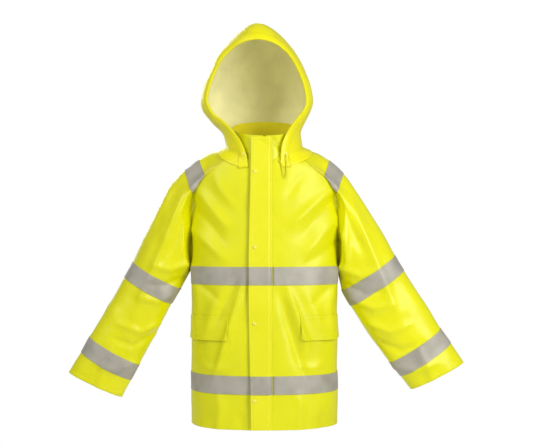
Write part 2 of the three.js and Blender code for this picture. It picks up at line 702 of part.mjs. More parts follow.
// The face opening's outline grown by a margin, as a prism from the front to the middle.
function facePrism(margin, behind = 0) {
  const right = FACE_STATIONS.map(({ z, half, centre }) => [centre - half, z]);
  const left = FACE_STATIONS.map(({ z, half, centre }) => [centre + half, z]).reverse();
  const middle = new THREE.Vector2(HOOD_LEAN_X, 140);
  const points = [...right, ...left.slice(1)].map(([x, z], i, all) => {
    const before = all[Math.max(i - 1, 0)];
    const after = all[Math.min(i + 1, all.length - 1)];
    const normal = new THREE.Vector2(-(after[1] - before[1]), after[0] - before[0]).normalize();
    const p = new THREE.Vector2(x, z);
    if (normal.dot(p.clone().sub(middle)) < 0) normal.negate();
    return p.addScaledVector(normal, margin);
  });
  points[0].y -= 60;
  points[points.length - 1].y -= 60;
  const options = { depth: FAR, bevelEnabled: false };
  const geometry = new THREE.ExtrudeGeometry(new THREE.Shape(points), options);
  geometry.rotateX(Math.PI / 2);
  geometry.translate(0, behind, 0);
  return solid(geometry); // from far in front to the plane y = behind
}

function addHood() {
  const skin = hoodDome(0).subtract(hoodDome(-WALL)).subtract(outerBody(HOOD_CLEARANCE));
  const faceHole = facePrism(0);
  const bandZone = facePrism(FACE_BAND_WIDTH, FACE_BAND_BACK_Y);
  const eyelets = [-1, 1].map((s) => {
    const hole = new THREE.CylinderGeometry(EYELET_HOLE_RADIUS, EYELET_HOLE_RADIUS, 60, 12);
    hole.translate(s * EYELET_X, -110, EYELET_Z);
    return solid(hole);
  });
  const band = skin.intersect(bandZone).subtract(faceHole);
  addPiece("hood_face_band", band.subtract(eyelets[0]).subtract(eyelets[1]), paint(YELLOW));
  const rest = skin.subtract(facePrism(FACE_BAND_WIDTH + SEAM_GAP, FACE_BAND_BACK_Y + SEAM_GAP));
  const cut = SEAM_GAP / 2;
  const slices = {
    hood_side_right: [-FAR, HOOD_SEAM_RIGHT_X - cut],
    hood_centre_panel: [HOOD_SEAM_RIGHT_X + cut, HOOD_SEAM_LEFT_X - cut],
    hood_side_left: [HOOD_SEAM_LEFT_X + cut, FAR],
  };
  for (const [name, span] of Object.entries(slices)) {
    addPiece(name, rest.intersect(boxSolid(...span, -FAR, FAR, -FAR, FAR)), paint(YELLOW));
  }
}

// The front wall of the hood at a point of the front view.
function hoodFrontY(x, z, offset) {
  const half = stationAt(HOOD_STATIONS, "halfWidth", z) + offset;
  const front = stationAt(HOOD_STATIONS, "front", z) - offset;
  const centre = stationAt(HOOD_STATIONS, "centreX", z);
  const share = Math.min(Math.abs(x - centre) / half, 0.995);
  return front * (1 - share ** 2.15) ** (1 / 2.15);
}

// A round cord along a smooth curve; its ends are flat.
function cordAlong(points, steps) {
  const circle = new THREE.Shape();
  circle.absarc(0, 0, CORD_DIAMETER / 2, 0, Math.PI * 2);
  const curve = new THREE.CatmullRomCurve3(points);
  const options = { steps, extrudePath: curve, bevelEnabled: false, curveSegments: 4 };
  return solid(new THREE.ExtrudeGeometry(circle, options));
}

// The held drawcord runs inside the face band, from eyelet to eyelet over the forehead.
function addDrawcord() {
  const inside = -(WALL + 3.2 + CORD_DIAMETER / 2);
  const levels = FACE_STATIONS.filter(({ z }) => z > EYELET_Z + 10);
  const rise = (s, { z, half, centre }) => {
    const x = centre + s * (half + 10);
    const share = z > 230 ? 9 : 0;
    return new THREE.Vector3(x, hoodFrontY(x, z + share, inside), z + share);
  };
  const up = levels.slice(0, -1).map((level) => rise(1, level));
  const down = levels.slice(0, -1).map((level) => rise(-1, level)).reverse();
  const crown = levels[levels.length - 1];
  const crownZ = crown.z + 12;
  const crownY = hoodFrontY(crown.centre, crownZ, inside);
  const top = new THREE.Vector3(crown.centre, crownY, crownZ);
  addPiece("hood_drawcord", cordAlong([...up, top, ...down], 48), paint(DARK_YELLOW, 0.8));
}

// The wearer's left end comes out of its eyelet, hangs in a narrow loop and goes back to the neck.
const DRAWCORD_LOOP = [
  [59, -99.7, -24],
  [59.2, -102.4, -24.8],
  [59.8, -104.6, -28],
  [60.2, -105.6, -36],
  [60.5, -106.1, -50],
  [60.4, -106.8, -66],
  [59.6, -107.5, -80],
  [57.6, -107.8, -89],
  [54.6, -107.9, -92.6],
  [51.8, -107.8, -89],
  [50.2, -107.5, -80],
  [49, -107.3, -67],
  [47.9, -107.2, -55],
  [45.2, -107, -47],
  [42, -105.2, -43],
  [39.6, -101.6, -41],
];

function addDrawcordLoop() {
  const points = DRAWCORD_LOOP.map((p) => new THREE.Vector3(...p));
  addPiece("drawcord_loop", cordAlong(points, 30), paint(YELLOW, 0.8));
}

function addEyelets() {
  const profile = [
    [EYELET_HOLE_RADIUS, 0],
    [EYELET_RADIUS, 0],
    [EYELET_RADIUS - 0.6, 0.9],
    [EYELET_HOLE_RADIUS + 0.6, 1.2],
    [EYELET_HOLE_RADIUS, 0],
  ];
  for (const side of ["right", "left"]) {
    const x = sign(side) * EYELET_X;
    const y = hoodFrontY(x, EYELET_Z, 0);
    const yaw = Math.atan(hoodFrontY(x + 0.5, EYELET_Z, 0) - hoodFrontY(x - 0.5, EYELET_Z, 0));
    const ring = turned(profile, { x, y, z: EYELET_Z, yaw, sides: 14 });
    addPiece(`eyelet_${side}`, ring, paint(NICKEL, 0.35, 0.8));
  }
}

function addHangerLoop() {
  const y1 = NECK_BACK_Y - WALL - 4.5; // its two feet meet the curved collar
  const y0 = y1 - LOOP_DEPTH;
  const half = LOOP_WIDTH / 2;
  const foot = COLLAR_BACK_BOTTOM_Z + 8;
  const top = foot + LOOP_HEIGHT;
  const insideHalf = half - LOOP_STRAP;
  const levels = [foot + LOOP_STRAP, top - LOOP_STRAP];
  const outer = boxSolid(-half, half, y0, y1, foot, top);
  const inner = boxSolid(-insideHalf, insideHalf, y0 - 1, y1 + 1, ...levels);
  addPiece("hanger_loop", outer.subtract(inner), paint(DARK_YELLOW));
}

addTorsoTape("chest_tape", CHEST_TAPE_Z);
addTorsoTape("hem_tape", HEM_TAPE_Z);
["right", "left"].forEach((side) => {
  addSleeveTapes(side);
  addShoulderTape(side);
  addPocketFlap(side);
  addPocketBag(side);
});
addZip();
addSlider();
addStormFlap();
addSnaps();
addHood();
addDrawcord();
addDrawcordLoop();
addEyelets();
addHangerLoop();

export default part;
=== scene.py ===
"""Looks of the foul weather jacket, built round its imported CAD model. Metres, +Z up, the front faces -Y."""

import logging
import math
from dataclasses import dataclass
from enum import Enum

import bmesh
import bpy
import numpy as np
from mathutils import Matrix, Vector


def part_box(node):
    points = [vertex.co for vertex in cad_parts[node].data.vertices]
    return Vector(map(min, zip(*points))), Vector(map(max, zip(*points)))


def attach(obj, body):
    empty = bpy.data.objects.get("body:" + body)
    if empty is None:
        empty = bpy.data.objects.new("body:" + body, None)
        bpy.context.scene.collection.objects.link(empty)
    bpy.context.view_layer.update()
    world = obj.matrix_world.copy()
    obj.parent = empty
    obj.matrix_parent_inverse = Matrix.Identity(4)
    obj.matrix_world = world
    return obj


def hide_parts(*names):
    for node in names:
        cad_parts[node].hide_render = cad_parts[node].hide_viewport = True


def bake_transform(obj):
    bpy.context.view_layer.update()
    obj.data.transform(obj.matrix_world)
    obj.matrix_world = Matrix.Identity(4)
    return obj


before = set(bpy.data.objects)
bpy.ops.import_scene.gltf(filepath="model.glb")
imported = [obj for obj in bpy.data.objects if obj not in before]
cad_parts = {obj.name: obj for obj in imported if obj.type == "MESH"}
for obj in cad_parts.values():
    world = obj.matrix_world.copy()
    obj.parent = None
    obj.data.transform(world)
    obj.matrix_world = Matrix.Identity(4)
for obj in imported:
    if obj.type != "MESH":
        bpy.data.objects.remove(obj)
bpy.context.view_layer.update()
bpy.ops.object.select_all(action="DESELECT")

logging.basicConfig(level=logging.INFO, format="%(message)s")
log = logging.getLogger("jacket")

Points = np.ndarray


class Side(Enum):
    """The wearer's side; the value is the sign of x."""

    RIGHT = -1
    LEFT = 1

    @property
    def word(self) -> str:
        """The side's word in a piece's name."""
        return self.name.lower()


class Face(Enum):
    """Which way a fold looks; the value is the sign of y."""

    FRONT = -1
    BACK = 1


# ---------- shader writing ----------
class Wire:
    """A number that runs through a node tree, with operators that add its Math nodes."""

    def __init__(self, tree: bpy.types.NodeTree, socket: bpy.types.NodeSocket) -> None:
        """Holds a socket.

        Args:
            tree: the node tree.
            socket: the output socket that carries the number.
        """
        self.tree = tree
        self.socket = socket

    def math(self, operation: str, *terms: "Wire | float") -> "Wire":
        """Adds a Math node.

        Args:
            operation: the Math node's operation.
            terms: its inputs in order.

        Returns:
            The result.
        """
        node = self.tree.nodes.new("ShaderNodeMath")
        node.operation = operation
        for slot, term in zip(node.inputs, terms):
            if isinstance(term, Wire):
                self.tree.links.new(term.socket, slot)
            else:
                slot.default_value = float(term)
        return Wire(self.tree, node.outputs[0])

    def __add__(self, other: "Wire | float") -> "Wire":
        """Sum."""
        return self.math("ADD", self, other)

    def __radd__(self, other: float) -> "Wire":
        """Sum, reflected."""
        return self.math("ADD", other, self)

    def __sub__(self, other: "Wire | float") -> "Wire":
        """Difference."""
        return self.math("SUBTRACT", self, other)

    def __rsub__(self, other: float) -> "Wire":
        """Difference, reflected."""
        return self.math("SUBTRACT", other, self)

    def __mul__(self, other: "Wire | float") -> "Wire":
        """Product."""
        return self.math("MULTIPLY", self, other)

    def __rmul__(self, other: float) -> "Wire":
        """Product, reflected."""
        return self.math("MULTIPLY", other, self)

    def __truediv__(self, other: "Wire | float") -> "Wire":
        """Quotient."""
        return self.math("DIVIDE", self, other)

    def sine(self) -> "Wire":
        """Sine of the number in radians."""
        return self.math("SINE", self)

    def size(self) -> "Wire":
        """Absolute value."""
        return self.math("ABSOLUTE", self)

    def ramp(self, low: float, high: float) -> "Wire":
        """Smooth step from 0 at low to 1 at high.

        Args:
            low: where it is 0.
            high: where it is 1; it may be less than low.

        Returns:
            The stepped number.
        """
        node = self.tree.nodes.new("ShaderNodeMapRange")
        node.interpolation_type = "SMOOTHSTEP"
        node.inputs["From Min"].default_value = low
        node.inputs["From Max"].default_value = high
        self.tree.links.new(self.socket, node.inputs["Value"])
        return Wire(self.tree, node.outputs["Result"])


class Dye:
    """One material in the making: its node tree, its shader, and ways to add to it."""

    def __init__(self, name: str) -> None:
        """Starts a material with a bare Principled shader.

        Args:
            name: the material's name.
        """
        self.material = bpy.data.materials.new(name)
        self.material.use_nodes = True
        self.tree = self.material.node_tree
        self.tree.nodes.clear()
        self.out = self.node("ShaderNodeOutputMaterial")
        self.shader = self.node("ShaderNodeBsdfPrincipled")
        self.tree.links.new(self.shader.outputs[0], self.out.inputs[0])

    def node(self, kind: str, settings: dict | None = None, **values: object) -> bpy.types.Node:
        """Adds a node.

        Args:
            kind: the node's type.
            settings: its properties, set first.
            values: its inputs by name, underscores for spaces; a Wire or a socket is linked.

        Returns:
            The node.
        """
        made = self.tree.nodes.new(kind)
        for key, value in (settings or {}).items():
            setattr(made, key, value)
        for key, value in values.items():
            slot = made.inputs[key.replace("_", " ")]
            self.feed(slot, value)
        return made

    def feed(self, slot: bpy.types.NodeSocket, value: object) -> None:
        """Links or sets one input.

        Args:
            slot: the input socket.
            value: a Wire, a socket, or a plain value.
        """
        if isinstance(value, Wire):
            self.tree.links.new(value.socket, slot)
        elif isinstance(value, bpy.types.NodeSocket):
            self.tree.links.new(value, slot)
        else:
            slot.default_value = value

    def wire(self, node: bpy.types.Node, output: str | int = 0) -> Wire:
        """A node's output as a number."""
        return Wire(self.tree, node.outputs[output])

    def place(self) -> bpy.types.NodeSocket:
        """Object coordinates, in metres."""
        return self.node("ShaderNodeTexCoord").outputs["Object"]

    def cloth_uv(self) -> tuple[Wire, Wire]:
        """The cloth's own coordinates in metres, across and along."""
        split = self.node("ShaderNodeSeparateXYZ", Vector=self.node("ShaderNodeTexCoord").outputs["UV"])
        return self.wire(split, 0), self.wire(split, 1)

    def marked(self, name: str) -> Wire:
        """A float attribute of the mesh."""
        return self.wire(self.node("ShaderNodeAttribute", {"attribute_name": name}), "Fac")

    def noise(self, scale: float, detail: float = 3.0, place: object = None) -> Wire:
        """Noise from 0 to 1.

        Args:
            scale: how many grains to the metre.
            detail: octaves.
            place: the coordinates, or None for Object coordinates.

        Returns:
            The noise.
        """
        made = self.node("ShaderNodeTexNoise", Vector=place or self.place(), Scale=scale, Detail=detail)
        return self.wire(made, 0)

    def blend(self, share: Wire | float, first: object, second: object) -> bpy.types.NodeSocket:
        """Mixes two colours.

        Args:
            share: how much of the second, from 0 to 1.
            first: a colour or a colour socket.
            second: a colour or a colour socket.

        Returns:
            The mixed colour's socket.
        """
        made = self.node("ShaderNodeMix", {"data_type": "RGBA"})
        self.feed(made.inputs[0], share)
        for slot, value in ((made.inputs[6], first), (made.inputs[7], second)):
            self.feed(slot, (*value, 1.0) if isinstance(value, tuple) else value)
        return made.outputs[2]

    def relief(self, height: Wire, strength: float = 1.0) -> None:
        """Bumps the surface by a height in metres.

        Args:
            height: the height.
            strength: how much of it shows.
        """
        made = self.node("ShaderNodeBump", Strength=strength, Distance=1.0, Height=height)
        self.tree.links.new(made.outputs[0], self.shader.inputs["Normal"])

    def finish(self, colour: object, roughness: Wire | float, **constants: float) -> bpy.types.Material:
        """Feeds the shader and hands the material over.

        Args:
            colour: the base colour, or its socket.
            roughness: the roughness.
            constants: other sockets by name, underscores for spaces, set directly.

        Returns:
            The material.
        """
        flat = (*colour, 1.0) if isinstance(colour, tuple) else colour
        self.feed(self.shader.inputs["Base Color"], flat)
        self.feed(self.shader.inputs["Roughness"], roughness)
        for key, value in constants.items():
            self.shader.inputs[key.replace("_", " ")].default_value = value
        return self.material


# ---------- finishes ----------
Colour = tuple[float, float, float]


@dataclass(frozen=True)
class CoatedFabric:
    """Fluorescent fabric with a glossy polyurethane face, and a stitched hem at its marked edges."""

    name: str
    colour: Colour
    shade: Colour
    roughness: float = 0.42
    crumple: float = 0.0013
    stitched: bool = True

    def make(self) -> bpy.types.Material:
        """Builds the material."""
        dye = Dye(self.name)
        across, along = dye.cloth_uv()
        weave = (across * 7400.0).sine() * (along * 7400.0).sine() * 0.000012
        grain = dye.noise(1500.0, 2.0) * 0.00003
        broad = dye.noise(9.0, 2.0)
        crumple = dye.noise(26.0, 3.0) * self.crumple + dye.noise(90.0, 2.0) * (self.crumple * 0.14)
        height = weave + grain + crumple
        colour = dye.blend(broad.ramp(0.25, 0.8), self.colour, self.shade)
        if self.stitched:
            rim, run = dye.marked("rim"), dye.marked("run")
            turned = rim.ramp(0.0105, 0.0092) * 0.00045
            thread = (rim - 0.0072).size().ramp(0.00055, 0.0002)
            dash = (run * (2 * math.pi / 0.0042)).sine().ramp(-0.5, 0.0)
            stitch = thread * dash
            height = height + turned - thread * 0.0003 + stitch * 0.00035
            colour = dye.blend(stitch * 0.35 + rim.ramp(0.0016, 0.0) * 0.25, colour, self.shade)
        dye.relief(height, 0.9)
        rough = dye.noise(60.0, 3.0) * 0.12 + (self.roughness - 0.05)
        return dye.finish(
            colour, rough, Specular_IOR_Level=0.34, Coat_Weight=0.12, Coat_Roughness=0.3, Coat_IOR=1.45
        )


@dataclass(frozen=True)
class LiningFace:
    """The matt inner face of the coated fabric, a fine woven ground."""

    name: str
    colour: Colour

    def make(self) -> bpy.types.Material:
        """Builds the material."""
        dye = Dye(self.name)
        across, along = dye.cloth_uv()
        weave = (across * 5200.0).sine() * (along * 5200.0).sine()
        deep = tuple(c * 0.86 for c in self.colour)
        colour = dye.blend(dye.noise(14.0, 3.0).ramp(0.3, 0.75), self.colour, deep)
        dye.relief(weave * 0.00003 + dye.noise(30.0, 3.0) * 0.0007, 0.8)
        rough = dye.noise(200.0, 2.0) * 0.14 + 0.6
        return dye.finish(colour, rough, Specular_IOR_Level=0.25, Sheen_Weight=0.15, Sheen_Roughness=0.5)


@dataclass(frozen=True)
class ReflectiveTape:
    """Grey glass-bead tape: a fine beaded ground in faint ribs, sewn down along both edges."""

    name: str = "reflective_tape"
    colour: Colour = (0.42, 0.395, 0.33)
    shade: Colour = (0.33, 0.31, 0.255)

    def make(self) -> bpy.types.Material:
        """Builds the material."""
        dye = Dye(self.name)
        across, along = dye.cloth_uv()
        rib = ((along + across) * 2600.0).sine() * ((along - across) * 2600.0).sine()
        bead = dye.noise(2600.0, 1.0)
        rim, run = dye.marked("rim"), dye.marked("run")
        thread = (rim - 0.003).size().ramp(0.0005, 0.0002)
        stitch = thread * (run * (2 * math.pi / 0.0038)).sine().ramp(-0.5, 0.0)
        colour = dye.blend(dye.noise(22.0, 4.0).ramp(0.3, 0.75), self.colour, self.shade)
        colour = dye.blend(rib.ramp(0.1, 0.5) * 0.18, colour, (0.52, 0.5, 0.43))
        colour = dye.blend(stitch * 0.7, colour, (0.62, 0.58, 0.1))
        dye.relief(bead * 0.00003 + rib * 0.00002 - thread * 0.0003 + stitch * 0.00035, 0.8)
        rough = bead * 0.12 + 0.44
        return dye.finish(colour, rough, Specular_IOR_Level=0.45, Metallic=0.12)


@dataclass(frozen=True)
class MouldedPlastic:
    """Glossy moulded plastic in the jacket's colour, with light scuffs."""

    name: str
    colour: Colour
    roughness: float = 0.26

    def make(self) -> bpy.types.Material:
        """Builds the material."""
        dye = Dye(self.name)
        scuff = dye.noise(420.0, 4.0).ramp(0.55, 0.75)
        deep = tuple(c * 0.85 for c in self.colour)
        colour = dye.blend(scuff * 0.5, self.colour, deep)
        dye.relief(dye.noise(900.0, 2.0) * 0.00002, 0.6)
        return dye.finish(colour, scuff * 0.2 + self.roughness, Coat_Weight=0.25, Coat_Roughness=0.12)


@dataclass(frozen=True)
class PlatedMetal:
    """Nickel plate with fine brushing and rubbed spots."""

    name: str = "nickel_plate"
    colour: Colour = (0.6, 0.57, 0.5)

    def make(self) -> bpy.types.Material:
        """Builds the material."""
        dye = Dye(self.name)
        rubbed = dye.noise(500.0, 4.0).ramp(0.45, 0.75)
        colour = dye.blend(rubbed * 0.6, self.colour, (0.42, 0.39, 0.33))
        dye.relief(dye.noise(3000.0, 2.0) * 0.00001, 0.5)
        return dye.finish(colour, rubbed * 0.25 + 0.24, Metallic=1.0)


@dataclass(frozen=True)
class BraidedCord:
    """A round braid: diamonds that run round and along the cord."""

    name: str = "braided_cord"
    colour: Colour = (0.83, 0.79, 0.02)

    def make(self) -> bpy.types.Material:
        """Builds the material."""
        dye = Dye(self.name)
        place = dye.node("ShaderNodeSeparateXYZ", Vector=dye.place())
        x, z = dye.wire(place, 0), dye.wire(place, 2)
        braid = ((z + x) * 3900.0).sine() * ((z - x) * 3900.0).sine()
        # Where the braid's relief is low, in its hollows, the colour is darkened: painted shade.
        deep = tuple(c * 0.78 for c in self.colour)
        colour = dye.blend(braid.ramp(-0.1, -0.6), self.colour, deep)
        dye.relief(braid * 0.00016 + dye.noise(2200.0, 2.0) * 0.00006, 1.0)
        return dye.finish(colour, 0.62, Specular_IOR_Level=0.3)


@dataclass(frozen=True)
class PaleFloor:
    """A plain pale floor with a faint grain."""

    name: str = "pale_floor"

    def make(self) -> bpy.types.Material:
        """Builds the material."""
        dye = Dye(self.name)
        colour = dye.blend(dye.noise(3.0, 3.0), (0.86, 0.86, 0.85), (0.84, 0.84, 0.83))
        return dye.finish(colour, 0.85)


class Wardrobe:
    """Every finish of the jacket, each built once."""

    def __init__(self) -> None:
        """Builds the finishes."""
        self.body = CoatedFabric("body_coated", (0.76, 0.75, 0.0), (0.7, 0.695, 0.0)).make()
        self.sleeve = CoatedFabric("sleeve_coated", (0.79, 0.77, 0.0), (0.73, 0.715, 0.0), 0.33).make()
        # The hood is cut from the body's fabric. Its warmer tone is its own; its lighter base colour is
        # painted light, making up for the light the hood lacks.
        self.hood = CoatedFabric("hood_coated", (0.84, 0.79, 0.0), (0.79, 0.73, 0.0)).make()
        self.flap = CoatedFabric("flap_coated", (0.8, 0.775, 0.01), (0.75, 0.73, 0.0)).make()
        self.lining = LiningFace("lining_face", (0.78, 0.7, 0.03)).make()
        # The hood's inner face is painted far paler than the same lining elsewhere. This is painted light,
        # standing in for light shining through the hood and for its sheen.
        self.hood_inside_painted_light = LiningFace("hood_lining_face", (0.95, 0.91, 0.5)).make()
        self.collar_lining = LiningFace("collar_lining_face", (0.78, 0.68, 0.004)).make()
        self.tape = ReflectiveTape().make()
        self.zip = MouldedPlastic("zip_plastic", (0.62, 0.56, 0.04)).make()
        self.snap = MouldedPlastic("snap_plastic", (0.82, 0.77, 0.08), 0.2).make()
        self.nickel = PlatedMetal().make()
        self.cord = BraidedCord().make()


# ---------- numbers along a table ----------
class Table:
    """A smooth curve through a table's columns that never overshoots between two rows."""

    def __init__(self, rows: list[tuple[float, ...]]) -> None:
        """Keeps the rows.

        Args:
            rows: each starts with the place, rising, and goes on with the values there.
        """
        data = np.array(sorted(rows), float)
        self.at = data[:, 0]
        self.values = data[:, 1:]
        step = np.diff(self.at)[:, None]
        rise = np.diff(self.values, axis=0) / step
        slope = np.zeros_like(self.values)
        same = rise[:-1] * rise[1:] > 0
        harmonic = 2 * rise[:-1] * rise[1:] / np.where(same, rise[:-1] + rise[1:], 1)
        slope[1:-1] = np.where(same, harmonic, 0)
        slope[0], slope[-1] = rise[0], rise[-1]
        self.slope = slope

    def __call__(self, place: Points) -> Points:
        """The columns at some places, as the last axis."""
        place = np.clip(np.asarray(place, float), self.at[0], self.at[-1])
        low = np.clip(np.searchsorted(self.at, place) - 1, 0, len(self.at) - 2)
        gap = (self.at[low + 1] - self.at[low])[..., None]
        t = (place - self.at[low])[..., None] / gap
        a, b = self.values[low], self.values[low + 1]
        m, n = self.slope[low] * gap, self.slope[low + 1] * gap
        return (
            a * (2 * t**3 - 3 * t**2 + 1)
            + m * (t**3 - 2 * t**2 + t)
            + b * (3 * t**2 - 2 * t**3)
            + n * (t**3 - t**2)
        )


def eased(value: Points, low: float, high: float) -> Points:
    """Smooth step of an array from 0 at low to 1 at high."""
    t = np.clip((value - low) / (high - low), 0, 1)
    return t * t * (3 - 2 * t)


def powered(value: Points, exponent: float | Points) -> Points:
    """A power that keeps its sign."""
    return np.sign(value) * np.abs(value) ** exponent


def grid_normals(grid: Points, wrap: bool) -> Points:
    """Unit normals of a grid of points.

    Args:
        grid: rows by columns by 3.
        wrap: whether the last column meets the first.

    Returns:
        The normals, in the sense of (down the columns) x (along the rows).
    """
    if wrap:
        around = np.roll(grid, -1, 1) - np.roll(grid, 1, 1)
    else:
        around = np.gradient(grid, axis=1)
    down = np.gradient(grid, axis=0)
    normal = np.cross(around, down)
    length = np.linalg.norm(normal, axis=2, keepdims=True)
    return normal / np.maximum(length, 1e-12)


def steps_with_rims(count: int, rims: float = 0.012) -> Points:
    """Places from 0 to 1 with closer steps at both ends.

    Args:
        count: steps between the rims.
        rims: the share of the width that a rim takes.

    Returns:
        The places.
    """
    inner = np.linspace(rims, 1 - rims, count)
    return np.concatenate([[0, rims * 0.35], inner, [1 - rims * 0.35, 1]])


# ---------- folds ----------
@dataclass(frozen=True)
class Fold:
    """A ridge, or a valley where the height is negative, along a line of the front or back view."""

    path: tuple[tuple[float, float], ...]
    width: float
    height: float
    face: Face = Face.FRONT
    open_start: bool = False
    open_end: bool = False

    def at(self, x: Points, z: Points) -> Points:
        """The fold's height at places of the view.

        Args:
            x: the places' x.
            z: the places' z.

        Returns:
            The heights.
        """
        line = np.array(self.path, float)
        pieces = np.linalg.norm(np.diff(line, axis=0), axis=1)
        whole = pieces.sum()
        best = np.full(x.shape, 1e9)
        run = np.zeros(x.shape)
        passed = 0.0
        for start, end, length in zip(line[:-1], line[1:], pieces):
            d = (end - start) / length
            t = np.clip((x - start[0]) * d[0] + (z - start[1]) * d[1], 0, length)
            gap = np.hypot(x - start[0] - t * d[0], z - start[1] - t * d[1])
            nearer = gap < best
            best = np.where(nearer, gap, best)
            run = np.where(nearer, passed + t, run)
            passed += length
        share = run / whole
        ends = np.ones(x.shape)
        if not self.open_start:
            ends = ends * eased(share, 0.0, 0.35)
        if not self.open_end:
            ends = ends * eased(1 - share, 0.0, 0.35)
        near = best / self.width
        return self.height * ends * np.exp(-(near**2)) / (1 + 0.4 * near)


class Drape:
    """All the folds of the jacket, as one height over its whole skin."""

    def __init__(self, folds: list[Fold], seed: int = 7) -> None:
        """Keeps the folds and draws the slight unevenness of the cloth.

        Args:
            folds: the placed folds.
            seed: the seed of the unevenness.
        """
        self.folds = folds
        chance = np.random.default_rng(seed)
        self.turn = chance.uniform(0, 2 * math.pi, 26)
        direction = chance.normal(size=(26, 3)) * np.array([1.0, 0.7, 0.75])
        self.wave = direction / np.linalg.norm(direction, axis=1, keepdims=True)
        self.pitch = 2 * math.pi / chance.uniform(0.05, 0.19, 26)

    def uneven(self, place: Points, amount: float) -> Points:
        """The slight unevenness.

        Args:
            place: points.
            amount: about its largest height.

        Returns:
            Heights.
        """
        bent = place + 0.012 * np.sin(place[..., [2, 0, 1]] * 31.0 + 1.3)
        phase = np.einsum("...k,nk->...n", bent, self.wave) * self.pitch + self.turn
        rough = np.sin(phase).mean(-1) * 2.4
        return amount * np.clip(rough, -1.2, 1.2)

    def height(self, place: Points, normal: Points, amount: float) -> Points:
        """How far the cloth stands off its smooth shape.

        Args:
            place: points of the smooth shape.
            normal: their normals.
            amount: the unevenness.

        Returns:
            Heights, outwards.
        """
        total = self.uneven(place, amount)
        for face in Face:
            weight = eased(face.value * normal[..., 1], 0.0, 0.45)
            x, z = place[..., 0], place[..., 2]
            sum_here = np.zeros(x.shape)
            for fold in self.folds:
                if fold.face is face:
                    sum_here += fold.at(x, z)
            total = total + weight * sum_here
        return total


# ---------- cloth as mesh ----------
@dataclass(frozen=True)
class Cut:
    """One piece of cloth before it is made: its outer face as a grid, and how it is finished."""

    name: str
    grid: Points
    thickness: float
    wrap: bool = False
    outward: Points | None = None
    hems: str = "lrtb"


